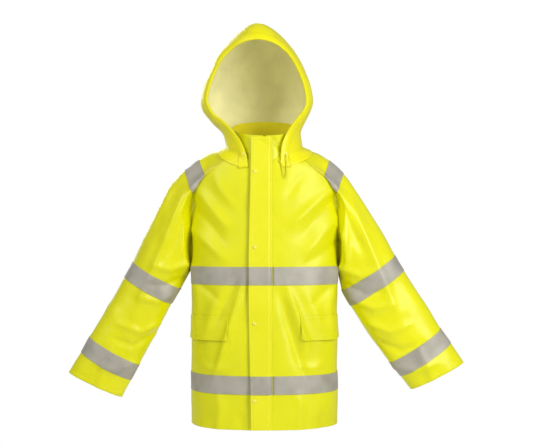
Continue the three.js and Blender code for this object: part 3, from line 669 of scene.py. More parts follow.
class Tailor:
    """Makes closed cloth pieces from grids of points."""

    def __init__(self, wardrobe: Wardrobe) -> None:
        """Keeps the finishes."""
        self.wardrobe = wardrobe
        self.flat_sizes: dict[str, tuple[float, float, float]] = {}

    def sew(self, cut: Cut, face: bpy.types.Material, inside: bpy.types.Material) -> bpy.types.Object:
        """Gives a grid its thickness, its cloth coordinates and its hem distances.

        Args:
            cut: the piece.
            face: the outer face's material.
            inside: the inner face's material.

        Returns:
            The piece.
        """
        outer = cut.grid
        rows, cols = outer.shape[:2]
        normal = grid_normals(outer, cut.wrap)
        guide = outer - outer.mean((0, 1)) if cut.outward is None else cut.outward
        if np.sum(normal * guide) < 0:
            normal = -normal
            flip = True
        else:
            flip = False
        inner = outer - normal * cut.thickness
        count = rows * cols
        points = np.concatenate([outer.reshape(-1, 3), inner.reshape(-1, 3)])
        across, along, rim, run = self.measure(outer, cut)
        index = np.arange(count).reshape(rows, cols)
        spans = cols if cut.wrap else cols - 1
        faces: list[tuple[int, ...]] = []
        marks: list[int] = []
        for i in range(rows - 1):
            for j in range(spans):
                k = (j + 1) % cols
                quad = (index[i, j], index[i, k], index[i + 1, k], index[i + 1, j])
                faces.append(quad[::-1] if flip else quad)
                marks.append(0)
                under = tuple(v + count for v in quad)
                faces.append(under if flip else under[::-1])
                marks.append(1)
        border = [(index[0, (j + 1) % cols], index[0, j]) for j in range(spans)]
        border += [(index[-1, j], index[-1, (j + 1) % cols]) for j in range(spans)]
        if not cut.wrap:
            border += [(index[i, 0], index[i + 1, 0]) for i in range(rows - 1)]
            border += [(index[i + 1, -1], index[i, -1]) for i in range(rows - 1)]
        for a, b in border:
            quad = (a, b, b + count, a + count)
            faces.append(quad[::-1] if flip else quad)
            marks.append(0)
        faces = [tuple(int(v) for v in face) for face in faces]
        mesh = bpy.data.meshes.new(cut.name)
        mesh.from_pydata([tuple(p) for p in points], [], faces)
        uv = mesh.uv_layers.new(name="cloth")
        corner = np.zeros(len(mesh.loops), np.int64)
        mesh.loops.foreach_get("vertex_index", corner)
        corner = corner % count
        seam = np.stack([across.reshape(-1)[corner], along.reshape(-1)[corner]], 1)
        uv.data.foreach_set("uv", seam.astype(np.float32).reshape(-1))
        for name, values in (("rim", rim), ("run", run)):
            layer = mesh.attributes.new(name, "FLOAT", "POINT")
            layer.data.foreach_set("value", np.tile(values.reshape(-1), 2).astype(np.float32))
        mesh.materials.append(face)
        mesh.materials.append(inside)
        mesh.polygons.foreach_set("material_index", marks)
        mesh.polygons.foreach_set("use_smooth", [True] * len(faces))
        made = bpy.data.objects.new(cut.name, mesh)
        bpy.context.scene.collection.objects.link(made)
        mend = bmesh.new()
        mend.from_mesh(mesh)
        bmesh.ops.remove_doubles(mend, verts=mend.verts, dist=1e-6)
        bmesh.ops.dissolve_degenerate(mend, edges=mend.edges, dist=1e-7)
        mend.to_mesh(mesh)
        mend.free()
        mesh.update()
        log.info("%s: %d faces", cut.name, len(mesh.polygons))
        return made

    def measure(self, outer: Points, cut: Cut) -> tuple[Points, Points, Points, Points]:
        """The cloth coordinates and hem distances of a grid, in metres.

        Args:
            outer: the grid.
            cut: the piece.

        Returns:
            Across, along, the distance to the nearest hem, and the place along that hem.
        """
        rows, cols = outer.shape[:2]
        wide = np.linalg.norm(np.diff(outer, axis=1), axis=2)
        tall = np.linalg.norm(np.diff(outer, axis=0), axis=2)
        across = np.concatenate([np.zeros((rows, 1)), np.cumsum(wide, 1)], 1)
        along = np.concatenate([np.zeros((1, cols)), np.cumsum(tall, 0)], 0)
        width, length = across[:, -1:], along[-1:, :]
        far = np.full((rows, cols), 1.0)
        reach = {"l": across, "r": width - across, "t": along, "b": length - along}
        place = {"l": along, "r": along, "t": across, "b": across}
        rim, run = far, along
        for edge in cut.hems:
            if cut.wrap and edge in "lr":
                continue
            nearer = reach[edge] < rim
            run = np.where(nearer, place[edge], run)
            rim = np.where(nearer, reach[edge], rim)
        middle = wide.sum(1).mean(), tall.sum(0).mean()
        area = self.area(outer)
        self.flat_sizes[cut.name] = (float(middle[0]), float(middle[1]), area)
        return across, along, rim, run

    @staticmethod
    def area(grid: Points) -> float:
        """The area of a grid of points."""
        a = grid[1:, 1:] - grid[:-1, :-1]
        b = grid[1:, :-1] - grid[:-1, 1:]
        return float(np.linalg.norm(np.cross(a, b), axis=2).sum() / 2)


# ---------- the smooth shapes of body, sleeves and hood ----------
LEAN = 0.065
FRONT_AT_COLLAR = -0.1
COLLAR_EDGE_Z = 0.02
COLLAR_SEAM_Z = -0.047


def centre_front(z: Points) -> Points:
    """The centre front's y at a level."""
    return FRONT_AT_COLLAR - LEAN * (COLLAR_EDGE_Z - np.asarray(z, float))


def lean_point(x: float, y: float, z: float) -> Vector:
    """A place of the leaning front opening, in the jacket's frame.

    Args:
        x: across.
        y: inwards, from the centre front.
        z: up the leaning line.

    Returns:
        The point.
    """
    turn = math.atan(LEAN)
    return Vector(
        (
            x,
            float(centre_front(0.0)) + y * math.cos(turn) + z * math.sin(turn),
            -y * math.sin(turn) + z * math.cos(turn),
        )
    )


def up_front(z: float) -> float:
    """A level, measured up the leaning line."""
    return z / math.cos(math.atan(LEAN))


class TorsoSkin:
    """The body of the jacket as one smooth, draped skin."""

    rows = Table(
        [
            (-0.78, 0.208, 0.138, 2.4),
            (-0.56, 0.208, 0.146, 2.4),
            (-0.345, 0.208, 0.15, 2.4),
            (-0.22, 0.208, 0.146, 2.4),
            (-0.15, 0.21, 0.138, 2.3),
            (-0.1, 0.212, 0.128, 2.2),
            (-0.063, 0.211, 0.12, 2.1),
            (-0.046, 0.199, 0.116, 2.0),
            (-0.029, 0.176, 0.112, 2.0),
            (-0.014, 0.146, 0.107, 2.0),
            (-0.004, 0.122, 0.103, 2.0),
            (0.003, 0.102, 0.099, 2.0),
        ]
    )
    raglan = Table([(-0.345, 0.2115), (-0.136, 0.201), (-0.08, 0.165), (-0.022, 0.097), (0.003, 0.102)])

    def __init__(self, drape: Drape) -> None:
        """Keeps the folds."""
        self.drape = drape

    def front(self, z: Points) -> Points:
        """How far the front stands out at a level, before the sides curve back."""
        above = np.maximum(z - COLLAR_SEAM_Z, 0)
        low = centre_front(np.minimum(z, COLLAR_SEAM_Z))
        return low + 0.32 * above + 6.0 * above**2

    def smooth(self, turn: Points, z: Points) -> Points:
        """Points of the smooth body.

        Args:
            turn: angle round the body, 0 at the centre front, rising to the wearer's left.
            z: level.

        Returns:
            The points.
        """
        half, back, square = np.moveaxis(self.rows(z), -1, 0)
        depth = np.where(np.cos(turn) > 0, -self.front(z), back)
        x = half * powered(np.sin(turn), 2 / square)
        y = -depth * powered(np.cos(turn), 2 / square)
        return np.stack([x, y, z + 0 * x], -1)

    def normal(self, turn: Points, z: Points) -> Points:
        """Outward normals of the smooth body."""
        e = 0.004
        around = self.smooth(turn + e, z) - self.smooth(turn - e, z)
        up = self.smooth(turn, z + e) - self.smooth(turn, z - e)
        cross = np.cross(around, up)
        return cross / np.maximum(np.linalg.norm(cross, axis=-1, keepdims=True), 1e-9)

    def place(self, turn: Points, z: Points, off: float = 0.0, amount: float = 0.0016) -> Points:
        """Points of the draped body.

        Args:
            turn: angle round the body.
            z: level.
            off: how far outside the skin.
            amount: the cloth's slight unevenness.

        Returns:
            The points.
        """
        base = self.smooth(turn, z)
        normal = self.normal(turn, z)
        calm = np.where(base[..., 1] < 0, eased(np.abs(base[..., 0]), 0.008, 0.026), 1.0)
        return base + normal * (self.drape.height(base, normal, amount) * calm + off)[..., None]

    def turn_at(self, x: Points, z: Points) -> Points:
        """The angle whose point has this x on the front, at a level."""
        half, _, square = np.moveaxis(self.rows(z), -1, 0)
        share = np.clip(np.abs(x) / half, 0, 1)
        return np.sign(x) * np.arcsin(share ** (square / 2))

    def seam_turn(self, z: Points) -> Points:
        """The angle of the side seam or the raglan seam at a level."""
        line = self.raglan(z)[..., 0]
        return np.where(z <= -0.345, math.pi / 2, np.minimum(self.turn_at(line, z), math.pi / 2))

    def clear(self, points: Points, gap: float) -> Points:
        """Points moved out of the body where they are in it.

        Args:
            points: points.
            gap: how far outside they then are.

        Returns:
            The points.
        """
        x, y, z = np.moveaxis(points, -1, 0)
        half, back, square = np.moveaxis(self.rows(z), -1, 0)
        depth = np.where(y < 0, -self.front(z), back)
        inside = (np.abs(x) / (half + gap)) ** square + (np.abs(y) / (depth + gap)) ** square
        grow = np.where((inside < 1) & (z < 0.003), inside ** (-1 / square), 1.0)
        return np.stack([x * grow, y * grow, z], -1)


@dataclass(frozen=True)
class ArmStation:
    """One section of a sleeve in the front view, in metres, its tilt in degrees."""

    x: float
    y: float
    z: float
    tilt: float
    across: float
    deep: float

    def ends(self) -> tuple[Points, Points]:
        """The inner and outer ends of the section, x and z, as if on the wearer's left."""
        turn = math.radians(self.tilt)
        reach = self.across * np.array([math.cos(turn), math.sin(turn)])
        middle = np.array([self.x, self.z])
        return middle - reach, middle + reach


ARM_STATIONS = {
    Side.RIGHT: (
        ArmStation(0.307, 0.0, -0.363, 29, 0.078, 0.064),
        ArmStation(0.395, -0.008, -0.52, 28, 0.079, 0.052),
        ArmStation(0.4805, -0.018, -0.672, 25, 0.083, 0.042),
    ),
    Side.LEFT: (
        ArmStation(0.297, 0.0, -0.356, 32, 0.09, 0.064),
        ArmStation(0.388, -0.008, -0.504, 31, 0.09, 0.052),
        ArmStation(0.4895, -0.018, -0.648, 27, 0.084, 0.042),
    ),
}
SHOULDER_TOPS = {
    Side.RIGHT: ((0.06, 0.1195, -0.006), (0.17, 0.150, -0.0145), (0.32, 0.192, -0.037), (0.45, 0.227, -0.062),
                 (0.65, 0.279, -0.1205), (0.75, 0.3067, -0.182), (0.87, 0.341, -0.252)),
    Side.LEFT: (
        (0.06, 0.1185, -0.006), (0.17, 0.148, -0.0145), (0.32, 0.187, -0.037), (0.45, 0.217, -0.064),
        (0.65, 0.263, -0.1248), (0.75, 0.299, -0.1805), (0.87, 0.338, -0.245)),
}


class SleeveSkin:
    """A raglan sleeve from its seam on the body to the cuff, as one draped tube."""

    columns = 112
    shoulder_length = 0.3

    def __init__(self, side: Side, torso: TorsoSkin, drape: Drape) -> None:
        """Lofts the sleeve.

        Args:
            side: the wearer's side.
            torso: the body it is sewn to.
            drape: the folds.
        """
        self.side = side
        self.torso = torso
        phi = np.arange(self.columns) / self.columns * 2 * math.pi
        reach = powered(np.sin(phi), 0.9)
        facing = powered(np.cos(phi), 0.9)
        rings = self.shoulder_rings((1 + reach) / 2, facing)
        length = self.shoulder_length
        near = ARM_STATIONS[side][0]
        for station in ARM_STATIONS[side][1:]:
            length += math.hypot(station.x - near.x, station.z - near.z)
            rings.append((length, self.station_ring(station, (1 + reach) / 2, facing)))
            near = station
        loft = Table([(v, *ring.reshape(-1)) for v, ring in rings])
        self.length = length
        inner = np.linspace(0.009, length - 0.009, 128)
        self.v = np.concatenate([[0, 0.002, 0.005], inner, [length - 0.004, length]])
        grid = loft(self.v).reshape(len(self.v), self.columns, 3)
        grid[..., 0] *= side.value
        self.base = grid
        normal = grid_normals(grid, True)
        middle = grid.mean(1, keepdims=True)
        if np.sum(normal * (grid - middle)) < 0:
            normal = -normal
        self.normal = normal
        rising = eased(self.v, 0.0, 0.03)[:, None]
        at_seam = drape.height(grid[:1], normal[:1], 0.0016)
        self.high = drape.height(grid, normal, 0.0024) * rising + at_seam * (1 - rising)

    def shoulder_rings(self, s: Points, facing: Points) -> list[tuple[float, Points]]:
        """Rings from the raglan seam to the upper arm.

        Args:
            s: each column's place from the armpit, 0, to the top, 1.
            facing: each column's share of the depth, 1 at the front, -1 at the back.

        Returns:
            Pairs of length and ring.
        """
        z = np.concatenate([np.linspace(-0.345, -0.022, 60), np.linspace(-0.02, 0.003, 14)])
        x = np.minimum(self.torso.raglan(z)[:, 0], self.torso.rows(z)[:, 0])
        run = np.concatenate([[0], np.cumsum(np.hypot(np.diff(x), np.diff(z)))])
        seam = np.stack([np.interp(s, run / run[-1], x), np.interp(s, run / run[-1], z)], 1)
        half, back, square = self.torso.rows(seam[:, 1]).T
        depth = np.where(facing > 0, -self.torso.front(seam[:, 1]), back)
        share = np.clip(1 - (seam[:, 0] / half) ** square, 0, 1) ** (1 / square)
        seam_y = -np.sign(facing) * depth * share
        station = ARM_STATIONS[self.side][0]
        inner, outer = station.ends()
        chord = inner + s[:, None] * (outer - inner)
        tops = Table([(0.0, 0.102, 0.003), *SHOULDER_TOPS[self.side], (1.0, *outer)])
        rings = []
        for w in (0, 0.05, 0.11, 0.18, 0.26, 0.35, 0.45, 0.55, 0.65, 0.76, 0.88, 1.0):
            flat = (1 - w) * seam + w * chord
            lift = tops(np.array([w]))[0] - ((1 - w) * seam[np.argmax(s)] + w * outer)
            flat = flat + s[:, None] ** 2.2 * lift
            full = -station.deep * (1 + 0.18 * (1 - w)) * facing
            share = eased(np.array([w]), -0.02, 0.3)[0]
            y = (1 - share) * seam_y + share * full
            rings.append((w * self.shoulder_length, np.stack([flat[:, 0], y, flat[:, 1]], 1)))
        return rings

    @staticmethod
    def station_ring(station: ArmStation, s: Points, facing: Points) -> Points:
        """The ring of one section."""
        inner, outer = station.ends()
        flat = inner + s[:, None] * (outer - inner)
        return np.stack([flat[:, 0], station.y - station.deep * facing, flat[:, 1]], 1)

    def skin(self, off: float = 0.0) -> Points:
        """The whole sleeve's points, some way outside the skin."""
        return self.base + self.normal * (self.high + off)[..., None]

    def band(self, levels: Points, columns: Points, off: float) -> Points:
        """Points at given lengths and columns.

        Args:
            levels: row numbers, with fractions, rows by columns.
            columns: column numbers, whole.
            off: how far outside the skin.

        Returns:
            The points.
        """
        whole = self.skin(off)
        low = np.clip(levels.astype(int), 0, len(self.v) - 2)
        part = (levels - low)[..., None]
        return whole[low, columns] * (1 - part) + whole[low + 1, columns] * part


class HoodSkin:
    """The raised hood as one dome, reached by rays from inside the head's place."""

    middle = np.array([-0.02, 0.0, 0.11])
    rows = Table(
        [
            (-0.064, 0.112, -0.112, 0.098, 0.0),
            (0.005, 0.109, -0.115, 0.101, -0.002),
            (0.035, 0.111, -0.118, 0.113, -0.007),
            (0.074, 0.134, -0.123, 0.135, -0.018),
            (0.108, 0.155, -0.126, 0.149, -0.022),
            (0.13, 0.161, -0.126, 0.154, -0.022),
            (0.177, 0.153, -0.122, 0.154, -0.021),
            (0.211, 0.139, -0.116, 0.145, -0.02),
            (0.246, 0.122, -0.108, 0.129, -0.02),
            (0.28, 0.1, -0.098, 0.106, -0.019),
            (0.314, 0.07, -0.082, 0.074, -0.019),
            (0.336, 0.043, -0.063, 0.044, -0.019),
            (0.349, 0.02, -0.04, 0.018, -0.019),
            (0.354, 0.003, -0.01, 0.003, -0.019),
        ]
    )
    square = 2.15
    face = (
        (-0.07, 0.044, 0.0), (-0.03, 0.047, -0.002), (0.0, 0.054, -0.006), (0.025, 0.066, -0.009),
        (0.05, 0.085, -0.013), (0.08, 0.113, -0.018), (0.1, 0.131, -0.021), (0.125, 0.141, -0.022),
        (0.15, 0.14, -0.022), (0.2, 0.125, -0.021), (0.245, 0.101, -0.02), (0.272, 0.076, -0.02),
        (0.29, 0.046, -0.02), (0.298, 0.0, -0.02),
    )

    def __init__(self, torso: TorsoSkin, drape: Drape) -> None:
        """Keeps the body it rests on and the folds."""
        self.torso = torso
        self.drape = drape

    def inside(self, points: Points) -> Points:
        """Less than 1 inside the dome, 1 on it."""
        x, y, z = np.moveaxis(points, -1, 0)
        half, front, back, centre = np.moveaxis(self.rows(z), -1, 0)
        depth = np.where(y < 0, -front, back)
        value = np.abs((x - centre) / half) ** self.square + np.abs(y / depth) ** self.square
        return np.where(z > 0.354, 4.0, value)

    def reach(self, origin: Points, direction: Points) -> Points:
        """Where rays meet the dome.

        Args:
            origin: a point inside, or one for each ray.
            direction: the rays' directions.

        Returns:
            The points.
        """
        near = np.full(direction.shape[:-1], 0.0)
        far = np.full(direction.shape[:-1], 0.6)
        unit = direction / np.linalg.norm(direction, axis=-1, keepdims=True)
        for _ in range(34):
            half = (near + far) / 2
            within = self.inside(origin + unit * half[..., None]) < 1
            near = np.where(within, half, near)
            far = np.where(within, far, half)
        return origin + unit * near[..., None]

    def onto(self, points: Points) -> Points:
        """Points moved onto the dome along rays from its middle."""
        return self.reach(self.middle, points - self.middle)

    def normal(self, points: Points) -> Points:
        """Outward normals at points of the dome."""
        e = 0.0015
        slope = [
            self.inside(points + e * axis) - self.inside(points - e * axis) for axis in np.eye(3)
        ]
        made = np.stack(slope, -1)
        return made / np.maximum(np.linalg.norm(made, axis=-1, keepdims=True), 1e-9)

    def draped(self, points: Points, off: Points | float = 0.0, amount: float = 0.002) -> Points:
        """Dome points with folds, kept off the shoulders.

        Args:
            points: points of the dome.
            off: how far outside the skin.
            amount: the cloth's slight unevenness.

        Returns:
            The points.
        """
        normal = self.normal(points)
        high = self.drape.height(points, normal, amount) + off
        return self.torso.clear(points + normal * high[..., None], 0.0024)

    def face_edge(self, count: int = 150) -> Points:
        """The face opening's edge, from the wearer's right at the neck over the forehead to the left."""
        right = [(c - h, z) for z, h, c in self.face if z > -0.062]
        left = [(c + h, z) for z, h, c in self.face if z > -0.062][::-1]
        line = np.array(right + left[1:])
        line[0, 1] = line[-1, 1] = max(line[0, 1], -0.05)
        first = np.array([[-0.0445, -0.06]])
        line = np.concatenate([first, line, first * [-1, 1]])
        for _ in range(2):
            middle = np.empty((2 * len(line) - 2, 2))
            middle[0::2] = line[:-1] * 0.75 + line[1:] * 0.25
            middle[1::2] = line[:-1] * 0.25 + line[1:] * 0.75
            line = np.concatenate([line[:1], middle, line[-1:]])
        run = np.concatenate([[0], np.cumsum(np.linalg.norm(np.diff(line, axis=0), axis=1))])
        at = np.linspace(0, run[-1], count)
        x, z = np.interp(at, run, line[:, 0]), np.interp(at, run, line[:, 1])
        half, front, _, centre = self.rows(z).T
        share = np.clip(1 - np.abs((x - centre) / half) ** self.square, 0, 1)
        return np.stack([x, front * share ** (1 / self.square), z], 1)

    def beside_face(self, widths: Points) -> Points:
        """Points at given distances outside the face edge, measured over the dome.

        Args:
            widths: the distances, rising from 0.

        Returns:
            Edge points by distances by 3.
        """
        line = self.face_edge()
        columns = [line]
        for step in np.diff(widths):
            here = columns[-1]
            for _ in range(2):
                tangent = np.gradient(here, axis=0)
                side = np.cross(tangent, self.normal(here))
                side /= np.maximum(np.linalg.norm(side, axis=1, keepdims=True), 1e-9)
                away = here - np.array([-0.02, here[:, 1].mean(), 0.13])
                side *= np.sign(np.sum(side[40:110] * away[40:110]))
                moved = here + side * (step / 2)
                here = self.onto(moved)
            columns.append(here)
        return np.stack(columns, 1)


# ---------- the placed folds ----------
def placed_folds() -> list[Fold]:
    """The jacket's folds and creases: lines of the front or back view with their width and height."""
    f, b = Face.FRONT, Face.BACK
    return [
        # from the middle of the chest band out and down, both ways
        Fold(((-0.045, -0.335), (-0.07, -0.42), (-0.115, -0.57), (-0.145, -0.67)), 0.011, 0.012, f),
        Fold(((-0.06, -0.33), (-0.095, -0.40), (-0.15, -0.52)), 0.015, -0.008, f),
        Fold(((0.032, -0.37), (0.06, -0.47), (0.1, -0.6), (0.125, -0.68)), 0.013, -0.011, f),
        Fold(((0.05, -0.36), (0.085, -0.46), (0.13, -0.6)), 0.012, 0.011, f),
        Fold(((0.1, -0.38), (0.14, -0.46), (0.165, -0.55)), 0.018, 0.006, f),
        Fold(((-0.1, -0.37), (-0.14, -0.45), (-0.17, -0.56)), 0.018, 0.005, f),
        # from the raglan seams towards the middle of the chest
        Fold(((0.19, -0.12), (0.13, -0.17), (0.06, -0.235)), 0.016, 0.0085, f, open_start=True),
        Fold(((0.195, -0.15), (0.14, -0.21), (0.08, -0.28)), 0.018, -0.006, f, open_start=True),
        Fold(((0.2, -0.2), (0.15, -0.26), (0.1, -0.315)), 0.016, 0.007, f, open_start=True),
        Fold(((0.205, -0.27), (0.16, -0.3), (0.09, -0.345)), 0.014, -0.005, f, open_start=True),
        Fold(((-0.19, -0.12), (-0.14, -0.18), (-0.08, -0.25)), 0.017, 0.0075, f, open_start=True),
        Fold(((-0.2, -0.17), (-0.15, -0.22), (-0.1, -0.29)), 0.018, -0.006, f, open_start=True),
        Fold(((-0.205, -0.23), (-0.16, -0.27), (-0.09, -0.33)), 0.015, 0.007, f, open_start=True),
        Fold(((-0.15, -0.06), (-0.12, -0.12), (-0.07, -0.19)), 0.016, 0.006, f),
        Fold(((0.13, -0.06), (0.09, -0.1), (0.05, -0.16)), 0.014, -0.004, f),
        # from the armpits down the sides
        Fold(((-0.2, -0.34), (-0.185, -0.44), (-0.19, -0.56)), 0.014, 0.007, f, open_start=True),
        Fold(((0.2, -0.35), (0.182, -0.45), (0.186, -0.57)), 0.014, 0.007, f, open_start=True),
        Fold(((-0.2, -0.37), (-0.16, -0.4), (-0.11, -0.44)), 0.012, -0.005, f),
        Fold(((0.2, -0.38), (0.165, -0.41), (0.12, -0.45)), 0.012, -0.005, f),
        # above and below the pockets, and the hem
        Fold(((-0.19, -0.6), (-0.14, -0.62), (-0.08, -0.61)), 0.012, 0.005, f),
        Fold(((0.18, -0.6), (0.13, -0.615), (0.08, -0.6)), 0.012, 0.005, f),
        Fold(((-0.13, -0.8), (-0.12, -0.72), (-0.135, -0.66)), 0.016, 0.006, f, open_start=True),
        Fold(((0.09, -0.8), (0.1, -0.72), (0.085, -0.66)), 0.016, 0.006, f, open_start=True),
        Fold(((0.165, -0.8), (0.155, -0.73)), 0.014, -0.005, f, open_start=True),
        Fold(((-0.06, -0.8), (-0.07, -0.72)), 0.014, -0.005, f, open_start=True),
        # the wearer's right sleeve
        Fold(
            ((-0.212, -0.075), (-0.235, -0.16), (-0.29, -0.3), (-0.36, -0.46), (-0.4, -0.53)),
            0.016, 0.0095, f,
        ),
        Fold(((-0.215, -0.16), (-0.24, -0.24), (-0.275, -0.33)), 0.013, -0.007, f),
        Fold(((-0.215, -0.33), (-0.265, -0.345), (-0.33, -0.33)), 0.012, 0.0075, f, open_start=True),
        Fold(((-0.225, -0.37), (-0.28, -0.39), (-0.35, -0.385)), 0.012, -0.006, f, open_start=True),
        Fold(((-0.245, -0.41), (-0.3, -0.435), (-0.37, -0.42)), 0.012, 0.006, f, open_start=True),
        Fold(((-0.3, -0.5), (-0.35, -0.52), (-0.43, -0.49)), 0.012, 0.007, f, open_start=True),
        Fold(((-0.31, -0.53), (-0.37, -0.56), (-0.45, -0.53)), 0.012, -0.006, f, open_start=True),
        Fold(((-0.36, -0.61), (-0.42, -0.63), (-0.5, -0.6)), 0.013, 0.006, f, open_start=True),
        Fold(((-0.4, -0.54), (-0.45, -0.62), (-0.47, -0.7)), 0.014, 0.0055, f, open_end=True),
        Fold(((-0.25, -0.09), (-0.29, -0.18), (-0.33, -0.26)), 0.012, 0.0055, f),
        # the wearer's left sleeve
        Fold(
            ((0.207, -0.22), (0.225, -0.26), (0.232, -0.32), (0.222, -0.37)),
            0.011, 0.009, f, open_start=True,
        ),
        Fold(((0.235, -0.1), (0.26, -0.2), (0.31, -0.32), (0.36, -0.44), (0.4, -0.52)), 0.017, 0.0085, f),
        Fold(((0.215, -0.14), (0.245, -0.23), (0.29, -0.32)), 0.013, -0.007, f),
        Fold(((0.215, -0.34), (0.27, -0.365), (0.33, -0.345)), 0.012, 0.007, f, open_start=True),
        Fold(((0.23, -0.39), (0.285, -0.415), (0.35, -0.4)), 0.012, -0.006, f, open_start=True),
        Fold(((0.25, -0.43), (0.31, -0.455), (0.38, -0.44)), 0.012, 0.006, f, open_start=True),
        Fold(((0.3, -0.5), (0.355, -0.52), (0.43, -0.49)), 0.013, 0.007, f, open_start=True),
        Fold(((0.33, -0.555), (0.385, -0.575), (0.46, -0.545)), 0.013, -0.006, f, open_start=True),
        Fold(((0.37, -0.62), (0.43, -0.63), (0.5, -0.6)), 0.013, 0.006, f, open_start=True),
        Fold(((0.41, -0.53), (0.45, -0.6), (0.48, -0.68)), 0.014, 0.0055, f, open_end=True),
        # the hood: creases from the forehead seam and at the cheeks
        Fold(((-0.13, 0.04), (-0.145, 0.1), (-0.15, 0.16)), 0.012, 0.004, f),
        Fold(((0.095, 0.035), (0.115, 0.09), (0.12, 0.15)), 0.012, 0.004, f),
        Fold(((-0.09, 0.33), (-0.12, 0.27), (-0.14, 0.21)), 0.014, 0.004, f),
        # the back
        Fold(((-0.17, -0.12), (-0.08, -0.2), (0.0, -0.24)), 0.02, 0.008, b, open_start=True),
        Fold(((0.17, -0.13), (0.08, -0.21), (0.0, -0.26)), 0.02, 0.008, b, open_start=True),
        Fold(((-0.2, -0.28), (-0.12, -0.32), (-0.02, -0.34)), 0.018, -0.006, b, open_start=True),
        Fold(((0.2, -0.28), (0.13, -0.33), (0.04, -0.36)), 0.018, 0.006, b, open_start=True),
        Fold(((-0.12, -0.38), (-0.1, -0.52), (-0.13, -0.66)), 0.018, 0.008, b),
        Fold(((0.1, -0.38), (0.085, -0.54), (0.11, -0.68)), 0.018, 0.008, b),
        Fold(((-0.02, -0.4), (-0.03, -0.55), (0.0, -0.7)), 0.02, -0.006, b),
        Fold(((-0.16, -0.8), (-0.15, -0.7)), 0.016, 0.006, b, open_start=True),
        Fold(((0.04, -0.8), (0.05, -0.71)), 0.016, 0.006, b, open_start=True),
        Fold(((-0.24, -0.12), (-0.29, -0.24), (-0.36, -0.4)), 0.016, 0.008, b),
        Fold(((0.24, -0.12), (0.29, -0.24), (0.36, -0.4)), 0.016, 0.008, b),
        Fold(((-0.22, -0.34), (-0.28, -0.37), (-0.35, -0.35)), 0.013, 0.006, b, open_start=True),
        Fold(((0.22, -0.34), (0.28, -0.37), (0.35, -0.35)), 0.013, 0.006, b, open_start=True),
        Fold(((-0.32, -0.53), (-0.38, -0.56), (-0.45, -0.53)), 0.013, 0.006, b, open_start=True),
        Fold(((0.32, -0.53), (0.38, -0.56), (0.45, -0.53)), 0.013, 0.006, b, open_start=True),
        Fold(((-0.1, 0.28), (-0.06, 0.18), (-0.02, 0.08)), 0.016, 0.004, b),
        Fold(((0.06, 0.28), (0.04, 0.18), (-0.01, 0.09)), 0.016, -0.004, b),
    ]


@dataclass
class BodyPanels:
    """Front panels, back panel, and the bands round them."""

    tailor: Tailor
    skin: TorsoSkin
    thickness: float = 0.0022
    hem: float = -0.78
    front_edge: float = 0.0046
    band_width: float = 0.05
    band_thickness: float = 0.0008
    band_off: float = 0.0012
    chest: float = -0.361
    hem_band: float = -0.659

    def front_grid(self, side: Side) -> Points:
        """The outer face of one front panel.

        Args:
            side: the wearer's side.

        Returns:
            Rows from the hem to the neck, columns from the centre front outwards.
        """
        u = steps_with_rims(46)
        v = steps_with_rims(130, 0.006)[:, None]
        z_in = self.hem + v * (COLLAR_SEAM_Z - 0.001 - self.hem)
        z_out = self.hem + v * (0.002 - self.hem)
        z = z_in * (1 - u) + z_out * u
        first = self.skin.turn_at(np.full(z.shape, self.front_edge), z)
        last = self.skin.seam_turn(z)
        turn = first * (1 - u) + last * u
        return self.skin.place(side.value * turn, z)

    def back_grid(self) -> Points:
        """The outer face of the back panel, from hem to neck."""
        u = steps_with_rims(76)
        v = steps_with_rims(130, 0.006)[:, None]
        z = self.hem + v * (0.002 - self.hem) + 0 * u
        side = self.skin.seam_turn(z)
        turn = math.pi - (2 * u - 1) * side
        return self.skin.place(turn, z)

    def band_grid(self, level: float, first: float, last: float, spans: int) -> Points:
        """The outer face of a band round part of the body.

        Args:
            level: the band's middle.
            first: where it starts, as an angle.
            last: where it ends, as an angle.
            spans: columns.

        Returns:
            Rows up the band, columns along it.
        """
        u = np.linspace(0, 1, spans)
        rows = level + self.band_width * (steps_with_rims(9, 0.06)[:, None] - 0.5)
        turn = first + (last - first) * u + 0 * rows
        return self.skin.place(turn, rows + 0 * turn, self.band_off)

    def make(self) -> None:
        """Builds the panels and bands."""
        dye = self.tailor.wardrobe
        for side in Side:
            name = f"front_panel_{side.word}"
            grid = self.front_grid(side)
            outward = grid * [1, 1, 0] + [0, -0.05, 0]
            cut = Cut(f"{name}_cloth", grid, self.thickness, outward=outward, hems="lrb")
            panel = self.tailor.sew(cut, dye.body, dye.lining)
            self.seat(panel, name)
        grid = self.back_grid()
        cut = Cut("back_panel_cloth", grid, self.thickness, outward=grid * [1, 1, 0])
        self.seat(self.tailor.sew(cut, dye.body, dye.lining), "back_panel")
        for word, level in (("chest", self.chest), ("hem", self.hem_band)):
            side_turn = math.pi / 2
            start = float(self.skin.turn_at(np.array(0.0068), np.array(level)))
            flap = float(self.skin.turn_at(np.array(0.0236), np.array(level)))
            runs = {
                "right": (-start, -side_turn, 56),
                "left": (flap, side_turn, 52),
                "back": (side_turn, 2 * math.pi - side_turn, 84),
            }
            for place, (first, last, spans) in runs.items():
                name = f"{word}_tape_{place}"
                grid = self.band_grid(level, first, last, spans)
                cut = Cut(f"{name}_band", grid, self.band_thickness, outward=grid * [1, 1, 0], hems="tb")
                self.seat(self.tailor.sew(cut, dye.tape, dye.tape), name, "stretched")

    def seat(self, piece: bpy.types.Object, node: str, held: str = "hung") -> None:
        """Puts a piece on the body in its node's place."""
        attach(piece, "torso")
        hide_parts(node)


